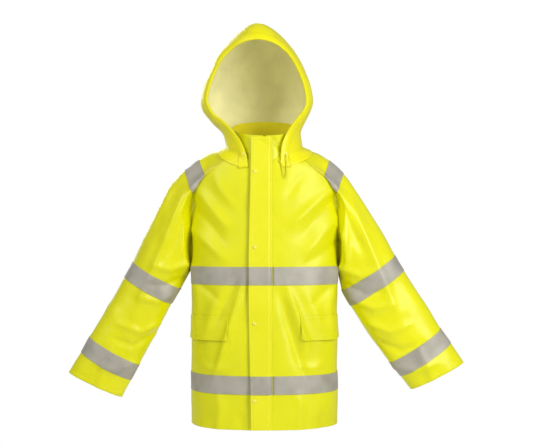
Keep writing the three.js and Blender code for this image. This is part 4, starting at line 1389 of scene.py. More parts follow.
@dataclass
class Sleeve:
    """One raglan sleeve with its cuff and upper bands, and the band over its shoulder."""

    tailor: Tailor
    side: Side
    skin: SleeveSkin
    thickness: float = 0.0022
    band_width: float = 0.05
    band_thickness: float = 0.0008
    band_off: float = 0.0012
    band_steps: tuple[tuple[str, float], ...] = (("upper", 0.024), ("cuff", 0.268))
    shoulder_inner: float = 0.186
    shoulder_floor: float = -0.14
    bend_start: float = 0.207
    bend_end: float = 0.3

    def make(self) -> None:
        """Builds the sleeve and its bands."""
        dye = self.tailor.wardrobe
        word = self.side.word
        grid = np.concatenate([self.tuck(0.016, -0.0055), self.tuck(0.005, -0.004), self.skin.skin()])
        middle = grid.mean(1, keepdims=True)
        cut = Cut(f"sleeve_{word}_cloth", grid, self.thickness, True, grid - middle, "tb")
        sleeve = self.tailor.sew(cut, dye.sleeve, dye.lining)
        self.bend(sleeve)
        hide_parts(f"sleeve_{word}", f"raglan_shoulder_{word}")
        for place, step in self.band_steps:
            self.band(place, step)
        self.shoulder_band()

    def tuck(self, inwards: float, off: float) -> Points:
        """A ring of the sleeve's seam allowance, under the body's cloth.

        Args:
            inwards: how far inside the seam.
            off: how far outside the body's skin, so less than 0.

        Returns:
            The ring, as one row.
        """
        edge = self.skin.base[:1]
        torso = self.skin.torso
        turn = torso.turn_at(np.abs(edge[..., 0]) - inwards, edge[..., 2])
        turn = np.where(edge[..., 1] < 0, turn, math.pi - turn)
        return torso.place(self.side.value * turn, edge[..., 2], off)

    def bend(self, piece: bpy.types.Object) -> None:
        """Bakes a piece's transform into its mesh; the ends of a shoulder bend are worked out but not used.
        """
        s = self.side.value
        start = (s * self.bend_start, 0, -0.13)
        end = (s * self.bend_end, 0, -0.13)
        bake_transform(piece)

    def band(self, place: str, step: float) -> None:
        """Builds one band round the sleeve.

        Args:
            place: the band's word.
            step: its distance from the upper arm section, down the sleeve.
        """
        dye = self.tailor.wardrobe
        upper, _, cuff = ARM_STATIONS[self.side]
        s = self.side.value
        start = np.array([s * upper.x, upper.z])
        line = np.array([s * cuff.x, cuff.z]) - start
        line /= np.linalg.norm(line)
        base = self.skin.base
        depth = (base[..., [0, 2]] - start) @ line
        columns = np.arange(self.skin.columns)
        bow = 0.006 * np.clip(-np.cos(columns / self.skin.columns * 2 * math.pi + math.pi), 0, 1)
        rows = step + self.band_width * (steps_with_rims(9, 0.06)[:, None] - 0.5) + bow * 0.6
        number = np.arange(len(self.skin.v))
        levels = np.stack([np.interp(rows[:, c], depth[30:, c], number[30:]) for c in columns], 1)
        grid = self.skin.band(levels, np.broadcast_to(columns, levels.shape), self.band_off)
        name = f"sleeve_tape_{place}_{self.side.word}"
        outward = grid - grid.mean(1, keepdims=True)
        cut = Cut(f"{name}_band", grid, self.band_thickness, True, outward, "tb")
        piece = self.tailor.sew(cut, dye.tape, dye.tape)
        self.bend(piece)
        self.dress(name)

    def shoulder_band(self) -> None:
        """Builds the band that lies front to back over the shoulder, inside the raglan seam."""
        dye = self.tailor.wardrobe
        normal = np.array([self.side.value * 0.935, 0, -0.353])
        depth = self.skin.base @ normal
        number = np.arange(len(self.skin.v))
        columns, low, high = [], [], []
        outer = self.shoulder_inner + self.band_width
        for c in range(self.skin.columns):
            turn = c / self.skin.columns * 2 * math.pi
            if math.sin(turn) < -0.35:
                continue
            seam, far = depth[0, c], depth[60, c]
            z = self.skin.base[0, c, 2]
            if seam >= outer - 0.002 or far < outer or z < self.shoulder_floor:
                continue
            columns.append(c)
            start = max(self.shoulder_inner, seam + 0.0015)
            low.append(np.interp(start, depth[:60, c], number[:60]))
            high.append(np.interp(outer, depth[:60, c], number[:60]))
        order = np.argsort([(c + 40) % self.skin.columns for c in columns])
        columns, low, high = (np.array(part)[order] for part in (columns, low, high))
        rows = steps_with_rims(9, 0.06)[:, None]
        levels = low * (1 - rows) + high * rows
        grid = self.skin.band(levels, np.broadcast_to(columns, levels.shape), self.band_off)
        name = f"shoulder_tape_{self.side.word}"
        outward = grid - np.array([self.side.value * 0.18, 0, -0.2])
        cut = Cut(f"{name}_band", grid, self.band_thickness, False, outward)
        piece = self.tailor.sew(cut, dye.tape, dye.tape)
        self.bend(piece)
        self.dress(name)

    def dress(self, node: str) -> None:
        """Hides the model's part that a band replaces."""
        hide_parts(node)


# ---------- small hard pieces and tubes ----------
LEAN_OUT = Vector((0.0, -math.cos(math.atan(LEAN)), math.sin(math.atan(LEAN))))


def finished(piece: bpy.types.Object, finish: bpy.types.Material, placing: Matrix) -> bpy.types.Object:
    """Puts a primitive's mesh in its place, with its material and smooth faces between hard edges.

    Args:
        piece: the piece, in object mode and selected.
        finish: its material.
        placing: where its mesh goes.

    Returns:
        The piece, itself at the origin.
    """
    piece.data.transform(placing)
    bpy.ops.object.shade_smooth_by_angle(angle=math.radians(38))
    piece.data.materials.append(finish)
    bpy.ops.object.select_all(action="DESELECT")
    log.info("%s: %d faces", piece.name, len(piece.data.polygons))
    return piece


def turned(
    name: str,
    profile: list[tuple[float, float]],
    seat: Vector,
    out: Vector,
    finish: bpy.types.Material,
    steps: int = 28,
) -> bpy.types.Object:
    """Spins a profile round a line.

    Args:
        name: the piece's name.
        profile: radius and distance along the line, in metres.
        seat: where the line starts.
        out: the line's direction.
        finish: the material.
        steps: steps of the spin.

    Returns:
        The piece.
    """
    bpy.ops.mesh.primitive_plane_add(size=0.001)
    made = bpy.context.object
    made.name = made.data.name = name
    bpy.ops.object.mode_set(mode="EDIT")
    bpy.ops.mesh.select_all(action="SELECT")
    bpy.ops.mesh.delete(type="VERT")
    work = bmesh.from_edit_mesh(made.data)
    line = [work.verts.new((radius, 0.0, height)) for radius, height in profile]
    for a, b in zip(line[:-1], line[1:]):
        work.edges.new((a, b))
    if profile[0][0] > 0:
        work.edges.new((line[-1], line[0]))
    bmesh.update_edit_mesh(made.data)
    bpy.ops.mesh.select_all(action="SELECT")
    bpy.ops.mesh.spin(steps=steps, angle=2 * math.pi, center=(0, 0, 0), axis=(0, 0, 1))
    bpy.ops.mesh.select_all(action="SELECT")
    bpy.ops.mesh.remove_doubles(threshold=1e-6)
    bpy.ops.mesh.select_all(action="SELECT")
    bpy.ops.mesh.normals_make_consistent(inside=False)
    bpy.ops.object.mode_set(mode="OBJECT")
    placing = out.to_track_quat("Z", "Y").to_matrix().to_4x4()
    placing.translation = seat
    return finished(made, finish, placing)


def block(
    name: str,
    low: tuple[float, float, float],
    high: tuple[float, float, float],
    round_off: float,
    finish: bpy.types.Material,
    copies: int = 1,
    pitch: float = 0.0,
    narrow: float = 1.0,
) -> bpy.types.Object:
    """Makes a block with rounded edges in the leaning frame, and maybe a row of them up the line.

    Args:
        name: the piece's name.
        low: its lowest corner.
        high: its highest corner.
        round_off: the width of its rounded edges.
        finish: the material.
        copies: how many in the row.
        pitch: the distance between two of them.
        narrow: how much narrower its lower end is.

    Returns:
        The piece.
    """
    bpy.ops.mesh.primitive_cube_add(size=1.0)
    made = bpy.context.object
    made.name = made.data.name = name
    size = [b - a for a, b in zip(low, high)]
    middle = [(a + b) / 2 for a, b in zip(low, high)]
    bpy.ops.object.mode_set(mode="EDIT")
    bpy.ops.mesh.select_all(action="SELECT")
    bpy.ops.transform.resize(value=size, center_override=(0, 0, 0))
    bpy.ops.transform.translate(value=middle)
    if narrow != 1.0:
        work = bmesh.from_edit_mesh(made.data)
        for corner in work.verts:
            if corner.co.z < middle[2]:
                corner.co.x = middle[0] + (corner.co.x - middle[0]) * narrow
        bmesh.update_edit_mesh(made.data)
    bpy.ops.object.mode_set(mode="OBJECT")
    bevel = made.modifiers.new("round", "BEVEL")
    bevel.width = round_off
    bevel.segments = 2 if copies == 1 else 1
    bpy.ops.object.modifier_apply(modifier=bevel.name)
    if copies > 1:
        row = made.modifiers.new("row", "ARRAY")
        row.count = copies
        row.use_relative_offset = False
        row.use_constant_offset = True
        row.constant_offset_displace = (0, 0, pitch)
        bpy.ops.object.modifier_apply(modifier=row.name)
    placing = Matrix.Rotation(-math.atan(LEAN), 4, "X")
    placing.translation = lean_point(0, 0, 0)
    return finished(made, finish, placing)


def joined(name: str, parts: list[bpy.types.Object]) -> bpy.types.Object:
    """Joins parts into one piece.

    Args:
        name: the piece's name.
        parts: the parts.

    Returns:
        The piece.
    """
    bpy.ops.object.select_all(action="DESELECT")
    for part in parts:
        part.select_set(True)
    bpy.context.view_layer.objects.active = parts[0]
    bpy.ops.object.join()
    parts[0].name = parts[0].data.name = name
    bpy.ops.object.select_all(action="DESELECT")
    return parts[0]


def tube(
    name: str, path: Points, radius: float, finish: bpy.types.Material, sides: int = 14
) -> bpy.types.Object:
    """Makes a round tube along a path, closed at both ends.

    Args:
        name: the piece's name.
        path: the points it follows.
        radius: its radius.
        finish: the material.
        sides: faces round it.

    Returns:
        The piece.
    """
    along = np.gradient(path, axis=0)
    along /= np.linalg.norm(along, axis=1, keepdims=True)
    across = np.cross(along[0], [0.3, 0.2, 1.0])
    rings = []
    for point, way in zip(path, along):
        across = across - way * np.dot(across, way)
        across /= np.linalg.norm(across)
        up = np.cross(way, across)
        turn = np.arange(sides) / sides * 2 * math.pi
        rings.append(point + radius * (np.cos(turn)[:, None] * across + np.sin(turn)[:, None] * up))
    points = np.concatenate([*rings, path[:1], path[-1:]])
    faces = []
    for i in range(len(path) - 1):
        for j in range(sides):
            k = (j + 1) % sides
            faces.append((i * sides + j, i * sides + k, (i + 1) * sides + k, (i + 1) * sides + j))
    last = (len(path) - 1) * sides
    for j in range(sides):
        k = (j + 1) % sides
        faces.append((len(path) * sides, k, j))
        faces.append((len(path) * sides + 1, last + j, last + k))
    mesh = bpy.data.meshes.new(name)
    mesh.from_pydata([tuple(p) for p in points], [], faces)
    mesh.materials.append(finish)
    mesh.polygons.foreach_set("use_smooth", [True] * len(faces))
    made = bpy.data.objects.new(name, mesh)
    bpy.context.scene.collection.objects.link(made)
    log.info("%s: %d faces", name, len(faces))
    return made


def smooth_path(corners: list[tuple[float, float, float]], step: float = 0.0008) -> Points:
    """Rounds a path's corners and spaces its points evenly.

    Args:
        corners: the path's corners, in metres.
        step: the distance between two points.

    Returns:
        The points.
    """
    line = np.array(corners, float)
    for _ in range(3):
        middle = np.empty((2 * len(line) - 2, 3))
        middle[0::2] = line[:-1] * 0.75 + line[1:] * 0.25
        middle[1::2] = line[:-1] * 0.25 + line[1:] * 0.75
        line = np.concatenate([line[:1], middle, line[-1:]])
    run = np.concatenate([[0], np.cumsum(np.linalg.norm(np.diff(line, axis=0), axis=1))])
    at = np.linspace(0, run[-1], int(run[-1] / step))
    return np.stack([np.interp(at, run, line[:, k]) for k in range(3)], 1)


@dataclass
class Collar:
    """The stand-up collar inside the hood, open at the zip, and the loop to hang the jacket by."""

    tailor: Tailor
    half: float = 0.09
    back: float = 0.09
    square: float = 2.2
    front_seam: float = -0.047
    front_top: float = 0.028
    back_seam: float = -0.004
    back_top: float = 0.082
    gap: float = 0.0046
    thickness: float = 0.0022
    strap_thickness: float = 0.0016

    def wall(self, u: Points, v: Points) -> Points:
        """Points of the collar's outer face.

        Args:
            u: round the neck, 0 at the front on the wearer's right, 1 at the front on the left.
            v: up the collar, from 0 to 1.

        Returns:
            The points.
        """
        start = math.asin((self.gap / self.half) ** (self.square / 2))
        turn = start + (2 * math.pi - 2 * start) * u
        x = -self.half * powered(np.sin(turn), 2 / self.square)
        facing = np.cos(turn)
        low_y, high_y = centre_front(self.front_seam), centre_front(self.front_top)
        front = -(low_y * (1 - v) + high_y * v)
        depth = np.where(facing > 0, front, self.back)
        y = -depth * powered(facing, 2 / self.square)
        share = (y + front) / (front + self.back)
        low = self.front_seam + (self.back_seam - self.front_seam) * share
        high = self.front_top + (self.back_top - self.front_top) * share
        return np.stack([x, y, low * (1 - v) + high * v], -1)

    def make(self) -> None:
        """Builds the collar and the loop."""
        dye = self.tailor.wardrobe
        u, v = np.meshgrid(steps_with_rims(110, 0.008), steps_with_rims(16, 0.04))
        grid = self.wall(u, v)
        wave = 0.0022 * np.sin(u * 17.0 + v * 3.0) * eased(v, 0.1, 0.9)
        crease = -0.005 * np.exp(-(((grid[..., 0] - 0.012 - (0.03 - grid[..., 2]) * 0.9) / 0.007) ** 2))
        crease *= eased(-grid[..., 1], 0.06, 0.09)
        roll = 0.0015 * eased(v, 0.75, 1.0)
        away = grid * [1, 1, 0]
        away /= np.linalg.norm(away, axis=-1, keepdims=True)
        grid = grid + away * (wave + crease + roll)[..., None]
        cut = Cut("collar_cloth", grid, self.thickness, outward=away, hems="lrt")
        collar = self.tailor.sew(cut, dye.body, dye.collar_lining)
        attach(collar, "torso")
        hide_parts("collar")
        self.loop()

    def loop(self) -> None:
        """Builds the hanging loop: a flat strap with both feet on the collar's back."""
        low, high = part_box("hanger_loop")
        turns = np.linspace(0, math.pi, 30)
        half = (high.x - low.x) / 2
        arch = powered(np.sin(turns), 0.28)
        x = -half * np.cos(turns)
        z = low.z + (high.z - low.z) * (0.04 + 0.92 * arch)
        rows = np.linspace(low.y + 0.0004, high.y - 0.0004, 5)
        grid = np.stack(np.broadcast_arrays(x[None], rows[:, None], z[None]), -1)
        outward = grid - np.array([0, 0, low.z])
        cut = Cut("hanger_strap", grid, self.strap_thickness, outward=outward * [1, 0, 1], hems="tb")
        strap = self.tailor.sew(cut, self.tailor.wardrobe.lining, self.tailor.wardrobe.lining)
        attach(strap, "torso")
        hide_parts("hanger_loop")


@dataclass
class Hood:
    """The raised hood: face band with the drawcord's tunnel, two side panels and a centre panel."""

    tailor: Tailor
    skin: HoodSkin
    band: float = 0.025
    thickness: float = 0.0022
    seam_right: float = -0.049
    seam_left: float = 0.028
    bend_start: float = 0.008
    bend_end: float = 0.125

    def bend(self, piece: bpy.types.Object, *nodes: str) -> None:
        """Bakes a hood piece's transform into its mesh and hides the parts it replaces."""
        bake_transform(piece)
        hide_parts(*nodes)

    def make(self) -> None:
        """Builds the band and the three panels."""
        dye = self.tailor.wardrobe
        widths = np.array([0, 0.0015, 0.004, 0.008, 0.0125, 0.017, 0.021, 0.0235, 0.025])
        beside = self.skin.beside_face(widths)
        across = np.sin(math.pi * widths / self.band)
        outer = self.skin.draped(beside, 0.0016 * across, 0.0008)
        inner = self.skin.draped(beside[:, 1:-1], -0.0028 - 0.0078 * across[1:-1] ** 0.6, 0.0008)
        section = np.concatenate([outer, inner[:, ::-1]], 1)
        middle = section.mean(1, keepdims=True)
        cut = Cut("hood_face_band_cloth", section, 0.0007, True, section - middle, "")
        band = self.tailor.sew(cut, dye.hood, dye.hood)
        self.bend(band, "hood_face_band")
        rim = beside[:, -1]
        top_right = int(np.argmin(np.abs(rim[30:75, 0] - self.seam_right))) + 30
        top_left = int(np.argmin(np.abs(rim[75:125, 0] - self.seam_left))) + 75
        seam_right = self.profile(self.seam_right, rim[top_right])
        seam_left = self.profile(self.seam_left, rim[top_left])
        self.side_panel(Side.RIGHT, rim[: top_right + 1][::-1], seam_right)
        self.side_panel(Side.LEFT, rim[top_left:], seam_left)
        self.centre_panel(rim[top_right : top_left + 1], seam_right, seam_left)

    def profile(self, x: float, start: Points, count: int = 90) -> Points:
        """The hood's seam in a plane of constant x, from the band over the top to the neck.

        Args:
            x: the plane.
            start: the point of the band's edge that it leaves.
            count: points.

        Returns:
            The points.
        """
        origin = np.array([x, 0.0, self.skin.middle[2]])
        first = math.atan2(start[2] - origin[2], -start[1])
        last = 2 * math.pi - math.acos(-0.1 / math.hypot(0.1, 0.119))
        turn = np.linspace(first, last, count)
        rays = np.stack([0 * turn, -np.cos(turn), np.sin(turn)], 1)
        return self.skin.reach(origin, rays)

    def bottom(self, start: Points, end: Points, count: int) -> Points:
        """The hood's lower edge round one side of the neck.

        Args:
            start: its front end.
            end: its back end.
            count: points.

        Returns:
            The points.
        """
        first = math.atan2(start[1], start[0])
        last = math.atan2(end[1], end[0])
        if start[0] < 0 and last > 0:
            last -= 2 * math.pi
        turn = np.linspace(first, last, count)
        back = eased(np.sin(turn), -1.0, -0.05)
        low = start[2] * (1 - back) + end[2] * back
        away = np.stack([np.cos(turn), np.sin(turn), 0 * turn], 1)
        origin = np.stack([0 * turn, 0 * turn, low], 1)
        return self.skin.reach(origin, away)

    def side_panel(self, side: Side, front: Points, seam: Points) -> None:
        """Builds one side panel between the band's edge and the seam.

        Args:
            side: the wearer's side.
            front: the band's edge, from the top down.
            seam: the seam, from the top down to the back of the neck.
        """
        dye = self.tailor.wardrobe
        rows, cols = 76, 64
        v = steps_with_rims(rows - 4, 0.008)
        u = steps_with_rims(cols - 4, 0.008)
        left = self.resample(front, v)
        right = self.resample(seam, v)
        low = self.resample(self.bottom(left[-1], right[-1], 90), u)
        a = left - self.skin.middle
        b = right - self.skin.middle
        a /= np.linalg.norm(a, axis=1, keepdims=True)
        b /= np.linalg.norm(b, axis=1, keepdims=True)
        angle = np.arccos(np.clip(np.sum(a * b, 1), -1, 1))[:, None]
        angle = np.maximum(angle, 1e-4)
        first = np.sin((1 - u) * angle) / np.sin(angle)
        second = np.sin(u * angle) / np.sin(angle)
        rays = first[..., None] * a[:, None] + second[..., None] * b[:, None]
        edge = low - self.skin.middle
        edge /= np.linalg.norm(edge, axis=1, keepdims=True)
        share = v[:, None, None] ** 1.5
        rays = rays + share * (edge - rays[-1])[None]
        grid = self.skin.onto(self.skin.middle + rays * 0.1)
        grid = self.skin.draped(grid)
        name = f"hood_side_{side.word}"
        outward = grid - self.skin.middle
        cut = Cut(f"{name}_cloth", grid, self.thickness, outward=outward, hems="rb")
        panel = self.tailor.sew(cut, dye.hood, dye.hood_inside_painted_light)
        self.bend(panel, name)

    def centre_panel(self, front: Points, right: Points, left: Points) -> None:
        """Builds the centre panel from the forehead over the top to the back of the neck.

        Args:
            front: the band's edge between the two seams.
            right: the seam on the wearer's right.
            left: the seam on the wearer's left.
        """
        dye = self.tailor.wardrobe
        u = steps_with_rims(22, 0.02)
        v = steps_with_rims(86, 0.006)
        a, b = self.resample(right, v), self.resample(left, v)
        grid = a[:, None] * (1 - u)[None, :, None] + b[:, None] * u[None, :, None]
        top = self.resample(front, u)
        share = (1 - v)[:, None, None] ** 6
        grid = grid + share * (top - grid[0])[None]
        origin = np.stack([grid[..., 0], 0 * grid[..., 0], 0 * grid[..., 0] + self.skin.middle[2]], -1)
        rays = grid - origin
        grid = self.skin.reach(origin, rays)
        grid = self.skin.draped(grid)
        outward = grid - self.skin.middle
        cut = Cut("hood_centre_cloth", grid, self.thickness, outward=outward, hems="lrb")
        panel = self.tailor.sew(cut, dye.hood, dye.hood_inside_painted_light)
        self.bend(panel, "hood_centre_panel")

    @staticmethod
    def resample(line: Points, at: Points) -> Points:
        """A line's points at shares of its length."""
        run = np.concatenate([[0], np.cumsum(np.linalg.norm(np.diff(line, axis=0), axis=1))])
        return np.stack([np.interp(at * run[-1], run, line[:, k]) for k in range(3)], -1)


@dataclass
class StormFlap:
    """The doubled flap over the zip, its two bands, and its four snaps with their studs."""

    tailor: Tailor
    skin: TorsoSkin
    free_x: float = -0.04
    seam_x: float = 0.022
    stand_off: float = 0.005
    thickness: float = 0.002
    top: float = 0.024
    bottom: float = -0.7792
    snap_x: float = -0.027
    snap_top: float = -0.072
    snap_pitch: float = 0.2095
    snap_radius: float = 0.006
    bands: tuple[tuple[str, float], ...] = (("chest", -0.361), ("hem", -0.659))

    def face(self, x: Points, z: Points, off: float) -> Points:
        """Points of the flap's outer face.

        Args:
            x: across.
            z: up the leaning line.
            off: how far outside the face.

        Returns:
            The points.
        """
        slope = math.atan(LEAN)
        share = (self.seam_x - x) / (self.seam_x - self.free_x)
        lift = -(self.stand_off + self.thickness) * eased(share, -0.02, 0.16)
        ripple = 0.0011 * np.sin(z * 21.0 + 0.6) + 0.0007 * np.sin(z * 47.0)
        free = 0.0016 * share**2 * np.sin(z * 13.0 + 1.9)
        y = lift - 0.0014 + (ripple * 0.7 + free) * share - off
        drift = 0.0035 * share * np.sin((z + 0.15) * 7.0)
        bent = (z - 0.0113 + 0.43 * (x + 0.0146)) / 0.0042
        y = y + 0.0026 * np.exp(-(bent**2)) * eased(x, -0.03, -0.008)
        line = float(centre_front(0.0)) + y * math.cos(slope) + z * math.sin(slope)
        return np.stack(np.broadcast_arrays(x + drift, line, -y * math.sin(slope) + z * math.cos(slope)), -1)

    def make(self) -> None:
        """Builds the flap, its bands and its snaps."""
        dye = self.tailor.wardrobe
        x = self.free_x + (self.seam_x - self.free_x) * steps_with_rims(20, 0.03)
        low, high = up_front(self.bottom), up_front(self.top)
        z = low + (high - low) * steps_with_rims(170, 0.003)[:, None]
        grid = self.face(x, z, 0.0)
        forward = np.array([0.0, -1.0, 0.0]) + 0 * grid
        cut = Cut("storm_flap_cloth", grid, self.thickness, outward=forward)
        flap = self.tailor.sew(cut, dye.flap, dye.flap)
        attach(flap, "storm_flap")
        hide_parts("storm_flap")
        for word, level in self.bands:
            rows = up_front(level) + 0.05 * (steps_with_rims(9, 0.06)[:, None] - 0.5)
            across = self.free_x + 0.0003 + (self.seam_x - self.free_x - 0.0004) * np.linspace(0, 1, 30)
            grid = self.face(across, rows, 0.0012)
            cut = Cut(f"{word}_tape_flap_band", grid, 0.0008, outward=0 * grid + [0.0, -1.0, 0.0], hems="tb")
            band = self.tailor.sew(cut, dye.tape, dye.tape)
            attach(band, "storm_flap")
            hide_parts(f"{word}_tape_flap")
        for i in range(4):
            self.snap(i)

    def snap(self, number: int) -> None:
        """Builds one snap: a domed cap on the flap and a stud on the panel.

        Args:
            number: which snap from the top, from 0.
        """
        dye = self.tailor.wardrobe
        z = up_front(self.snap_top - number * self.snap_pitch)
        seat = lean_point(self.snap_x, 0.0, z)
        surface = Vector(self.face(np.array(self.snap_x), np.array(z), 0.0))
        out = (surface - seat).dot(LEAN_OUT)
        r = self.snap_radius
        cap = [
            (0.0, out + 0.0029), (r * 0.35, out + 0.0028),
            (r * 0.68, out + 0.0022), (r * 0.9, out + 0.0013),
            (r, out + 0.0004), (r * 0.97, out - 0.0004), (r * 0.86, out - 0.0006), (0.0018, out - 0.0006),
            (0.0018, 0.0042), (0.005, 0.0042), (0.005, 0.0026), (0.0026, 0.0026),
            (0.0024, 0.0036), (0.0, 0.0036),
        ]
        piece = turned(f"snap_cap_{number + 1}_dome", cap, seat, LEAN_OUT, dye.snap)
        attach(piece, "storm_flap")
        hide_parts(f"snap_cap_{number + 1}")
        stud = [
            (0.0, 0.0032), (0.0014, 0.0031), (0.0021, 0.0026), (0.0018, 0.002), (0.0017, 0.0016),
            (0.003, 0.0015), (0.0046, 0.0011), (0.005, 0.0005), (0.005, -0.0004), (0.0, -0.0004),
        ]
        piece = turned(f"snap_stud_{number + 1}_post", stud, seat, LEAN_OUT, dye.nickel)
        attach(piece, "torso")
        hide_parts(f"snap_stud_{number + 1}")


@dataclass
class Zip:
    """The zip under the storm flap: tapes, moulded teeth, bottom box, slider and puller."""

    tailor: Tailor
    tape_in: float = 0.0008
    tape_out: float = 0.0148
    top: float = 0.0215
    bottom: float = -0.762
    pitch: float = 0.0034
    tooth_high: float = 0.0016

    def make(self) -> None:
        """Builds the zip."""
        dye = self.tailor.wardrobe
        for side in Side:
            s = side.value
            x = s * np.linspace(self.tape_in, self.tape_out, 8)
            low_end, high_end = up_front(self.bottom), up_front(self.top)
            z = low_end + (high_end - low_end) * np.linspace(0, 1, 90)[:, None]
            turn = math.atan(LEAN)
            ripple = 0.0039 + 0 * z + 0 * x
            y = float(centre_front(0.0)) + ripple * math.cos(turn) + z * math.sin(turn)
            grid = np.stack(np.broadcast_arrays(x, y, -ripple * math.sin(turn) + z * math.cos(turn)), -1)
            forward = 0 * grid + [0.0, -1.0, 0.0]
            cut = Cut(f"zip_tape_{side.word}_strip", grid, 0.0008, outward=forward, hems="lr")
            strip = self.tailor.sew(cut, dye.flap, dye.flap)
            self.seat(strip, f"zip_tape_{side.word}", "torso", "flap_fabric")
            start = -0.7475 + (self.pitch / 2 if side is Side.LEFT else 0.0)
            count = int((0.0165 - start) / self.pitch)
            near, far = sorted((s * 0.0005, s * 0.0038))
            low, high = (near, 0.0002, start), (far, 0.0042, start + self.tooth_high)
            row = block(f"zip_teeth_{side.word}_row", low, high, 0.00025, dye.zip, count, self.pitch)
            self.seat(row, f"zip_teeth_{side.word}", "torso", "zip_plastic")
        box = block("zip_bottom_block", (-0.0038, 0.0, -0.7625), (0.0038, 0.0049, -0.7487), 0.0007, dye.zip)
        self.seat(box, "zip_bottom_box", "torso", "zip_plastic")
        self.slider()

    def slider(self) -> None:
        """Builds the slider and its puller."""
        metal = self.tailor.wardrobe.nickel
        parts = [
            block(
                "plate_front", (-0.0055, -0.0017, 0.0012),
                (0.0055, -0.0002, 0.0158), 0.0005, metal, narrow=0.78,
            ),
            block(
                "plate_back", (-0.0055, 0.0052, 0.0012),
                (0.0055, 0.0065, 0.0158), 0.0005, metal, narrow=0.78,
            ),
            block("post", (-0.00035, -0.0004, 0.0125), (0.00035, 0.0054, 0.0154), 0.0001, metal),
            block("bail_foot_low", (-0.0008, -0.0036, 0.0032), (0.0008, -0.0014, 0.0044), 0.0003, metal),
            block("bail_foot_high", (-0.0008, -0.0036, 0.0096), (0.0008, -0.0014, 0.0108), 0.0003, metal),
            block("bail_bar", (-0.0008, -0.0038, 0.0034), (0.0008, -0.003, 0.0106), 0.0003, metal),
        ]
        slider = joined("zip_slider_metal", parts)
        self.seat(slider, "zip_slider", "zip_slider", "zip_metal")
        low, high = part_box("zip_puller")
        top, foot = high.z - 0.0004, low.z + 0.0006
        parts = [
            block("pull_top", (-0.0038, -0.0027, top - 0.0022), (0.0038, -0.002, top), 0.00025, metal),
            block(
                "pull_right", (-0.0038, -0.0027, top - 0.0125),
                (-0.0017, -0.002, top - 0.0012), 0.00025, metal,
            ),
            block(
                "pull_left", (0.0017, -0.0027, top - 0.0125),
                (0.0038, -0.002, top - 0.0012), 0.00025, metal,
            ),
            block(
                "pull_plate", (-0.0039, -0.0028, foot),
                (0.0039, -0.002, top - 0.0112), 0.0003, metal, narrow=0.8,
            ),
        ]
        self.seat(joined("zip_puller_plate", parts), "zip_puller", "zip_slider", "zip_metal")

    @staticmethod
    def seat(piece: bpy.types.Object, node: str, body: str, slot: str) -> None:
        """Puts a piece on its body in its node's place."""
        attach(piece, body)
        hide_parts(node)


@dataclass
class Pocket:
    """One hip pocket: the bag behind the slit and the flap over it."""

    tailor: Tailor
    side: Side
    skin: TorsoSkin
    top: float = -0.4712
    bottom: float = -0.539
    inner: float = 0.0985
    outer: float = 0.2035
    bag_top: float = -0.466
    bag_bottom: float = -0.6285

    def make(self) -> None:
        """Builds the flap and the bag."""
        dye = self.tailor.wardrobe
        word = self.side.word
        u = steps_with_rims(30, 0.02)
        v = steps_with_rims(20, 0.03)[:, None]
        corner = 0.0035 * (1 - eased(u, 0.0, 0.09) + 1 - eased(1 - u, 0.0, 0.09)) * eased(v, 0.75, 1.0)
        z = self.top + v * (self.bottom - self.top) + corner
        x = self.inner + (self.outer - self.inner) * u + 0 * z
        turn = self.side.value * self.skin.turn_at(x, z)
        grid = self.skin.place(turn, z, 0.0033 + 0 * z, 0.0014)
        normal = self.skin.normal(turn, z)
        lift = 0.0045 * v**2 * (0.35 + 0.65 * u) + 0.0016 * np.sin(u * 9.0 + 1.0) * v
        grid = grid + normal * lift[..., None]
        cut = Cut(f"pocket_flap_{word}_cloth", grid, 0.002, outward=grid * [1, 1, 0], hems="lrtb")
        flap = self.tailor.sew(cut, dye.body, dye.body)
        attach(flap, f"pocket_flap_{word}")
        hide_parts(f"pocket_flap_{word}")
        self.bag()

    def bag(self) -> None:
        """Builds the bag: a flat pouch, open at the top, behind the panel."""
        dye = self.tailor.wardrobe
        turn = np.linspace(0, 2 * math.pi, 56, endpoint=False)
        v = steps_with_rims(26, 0.03)[:, None]
        z = self.bag_top + v * (self.bag_bottom - self.bag_top) + 0 * turn
        narrow = 1 - 0.1 * eased(v, 0.7, 1.0)
        x = 0.151 + 0.0475 * narrow * powered(np.sin(turn), 0.35)
        depth = 0.0055 * (1 - 0.55 * eased(v, 0.45, 1.0)) * powered(np.cos(turn), 0.5)
        around = self.side.value * self.skin.turn_at(x, z)
        base = self.skin.smooth(around, z)
        grid = base - self.skin.normal(around, z) * (0.0117 - depth)[..., None]
        outward = grid - grid.mean(1, keepdims=True)
        cut = Cut(f"pocket_bag_{self.side.word}_cloth", grid, 0.0008, True, outward, "tb")
        bag = self.tailor.sew(cut, dye.lining, dye.lining)
        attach(bag, "torso")
        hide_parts(f"pocket_bag_{self.side.word}")


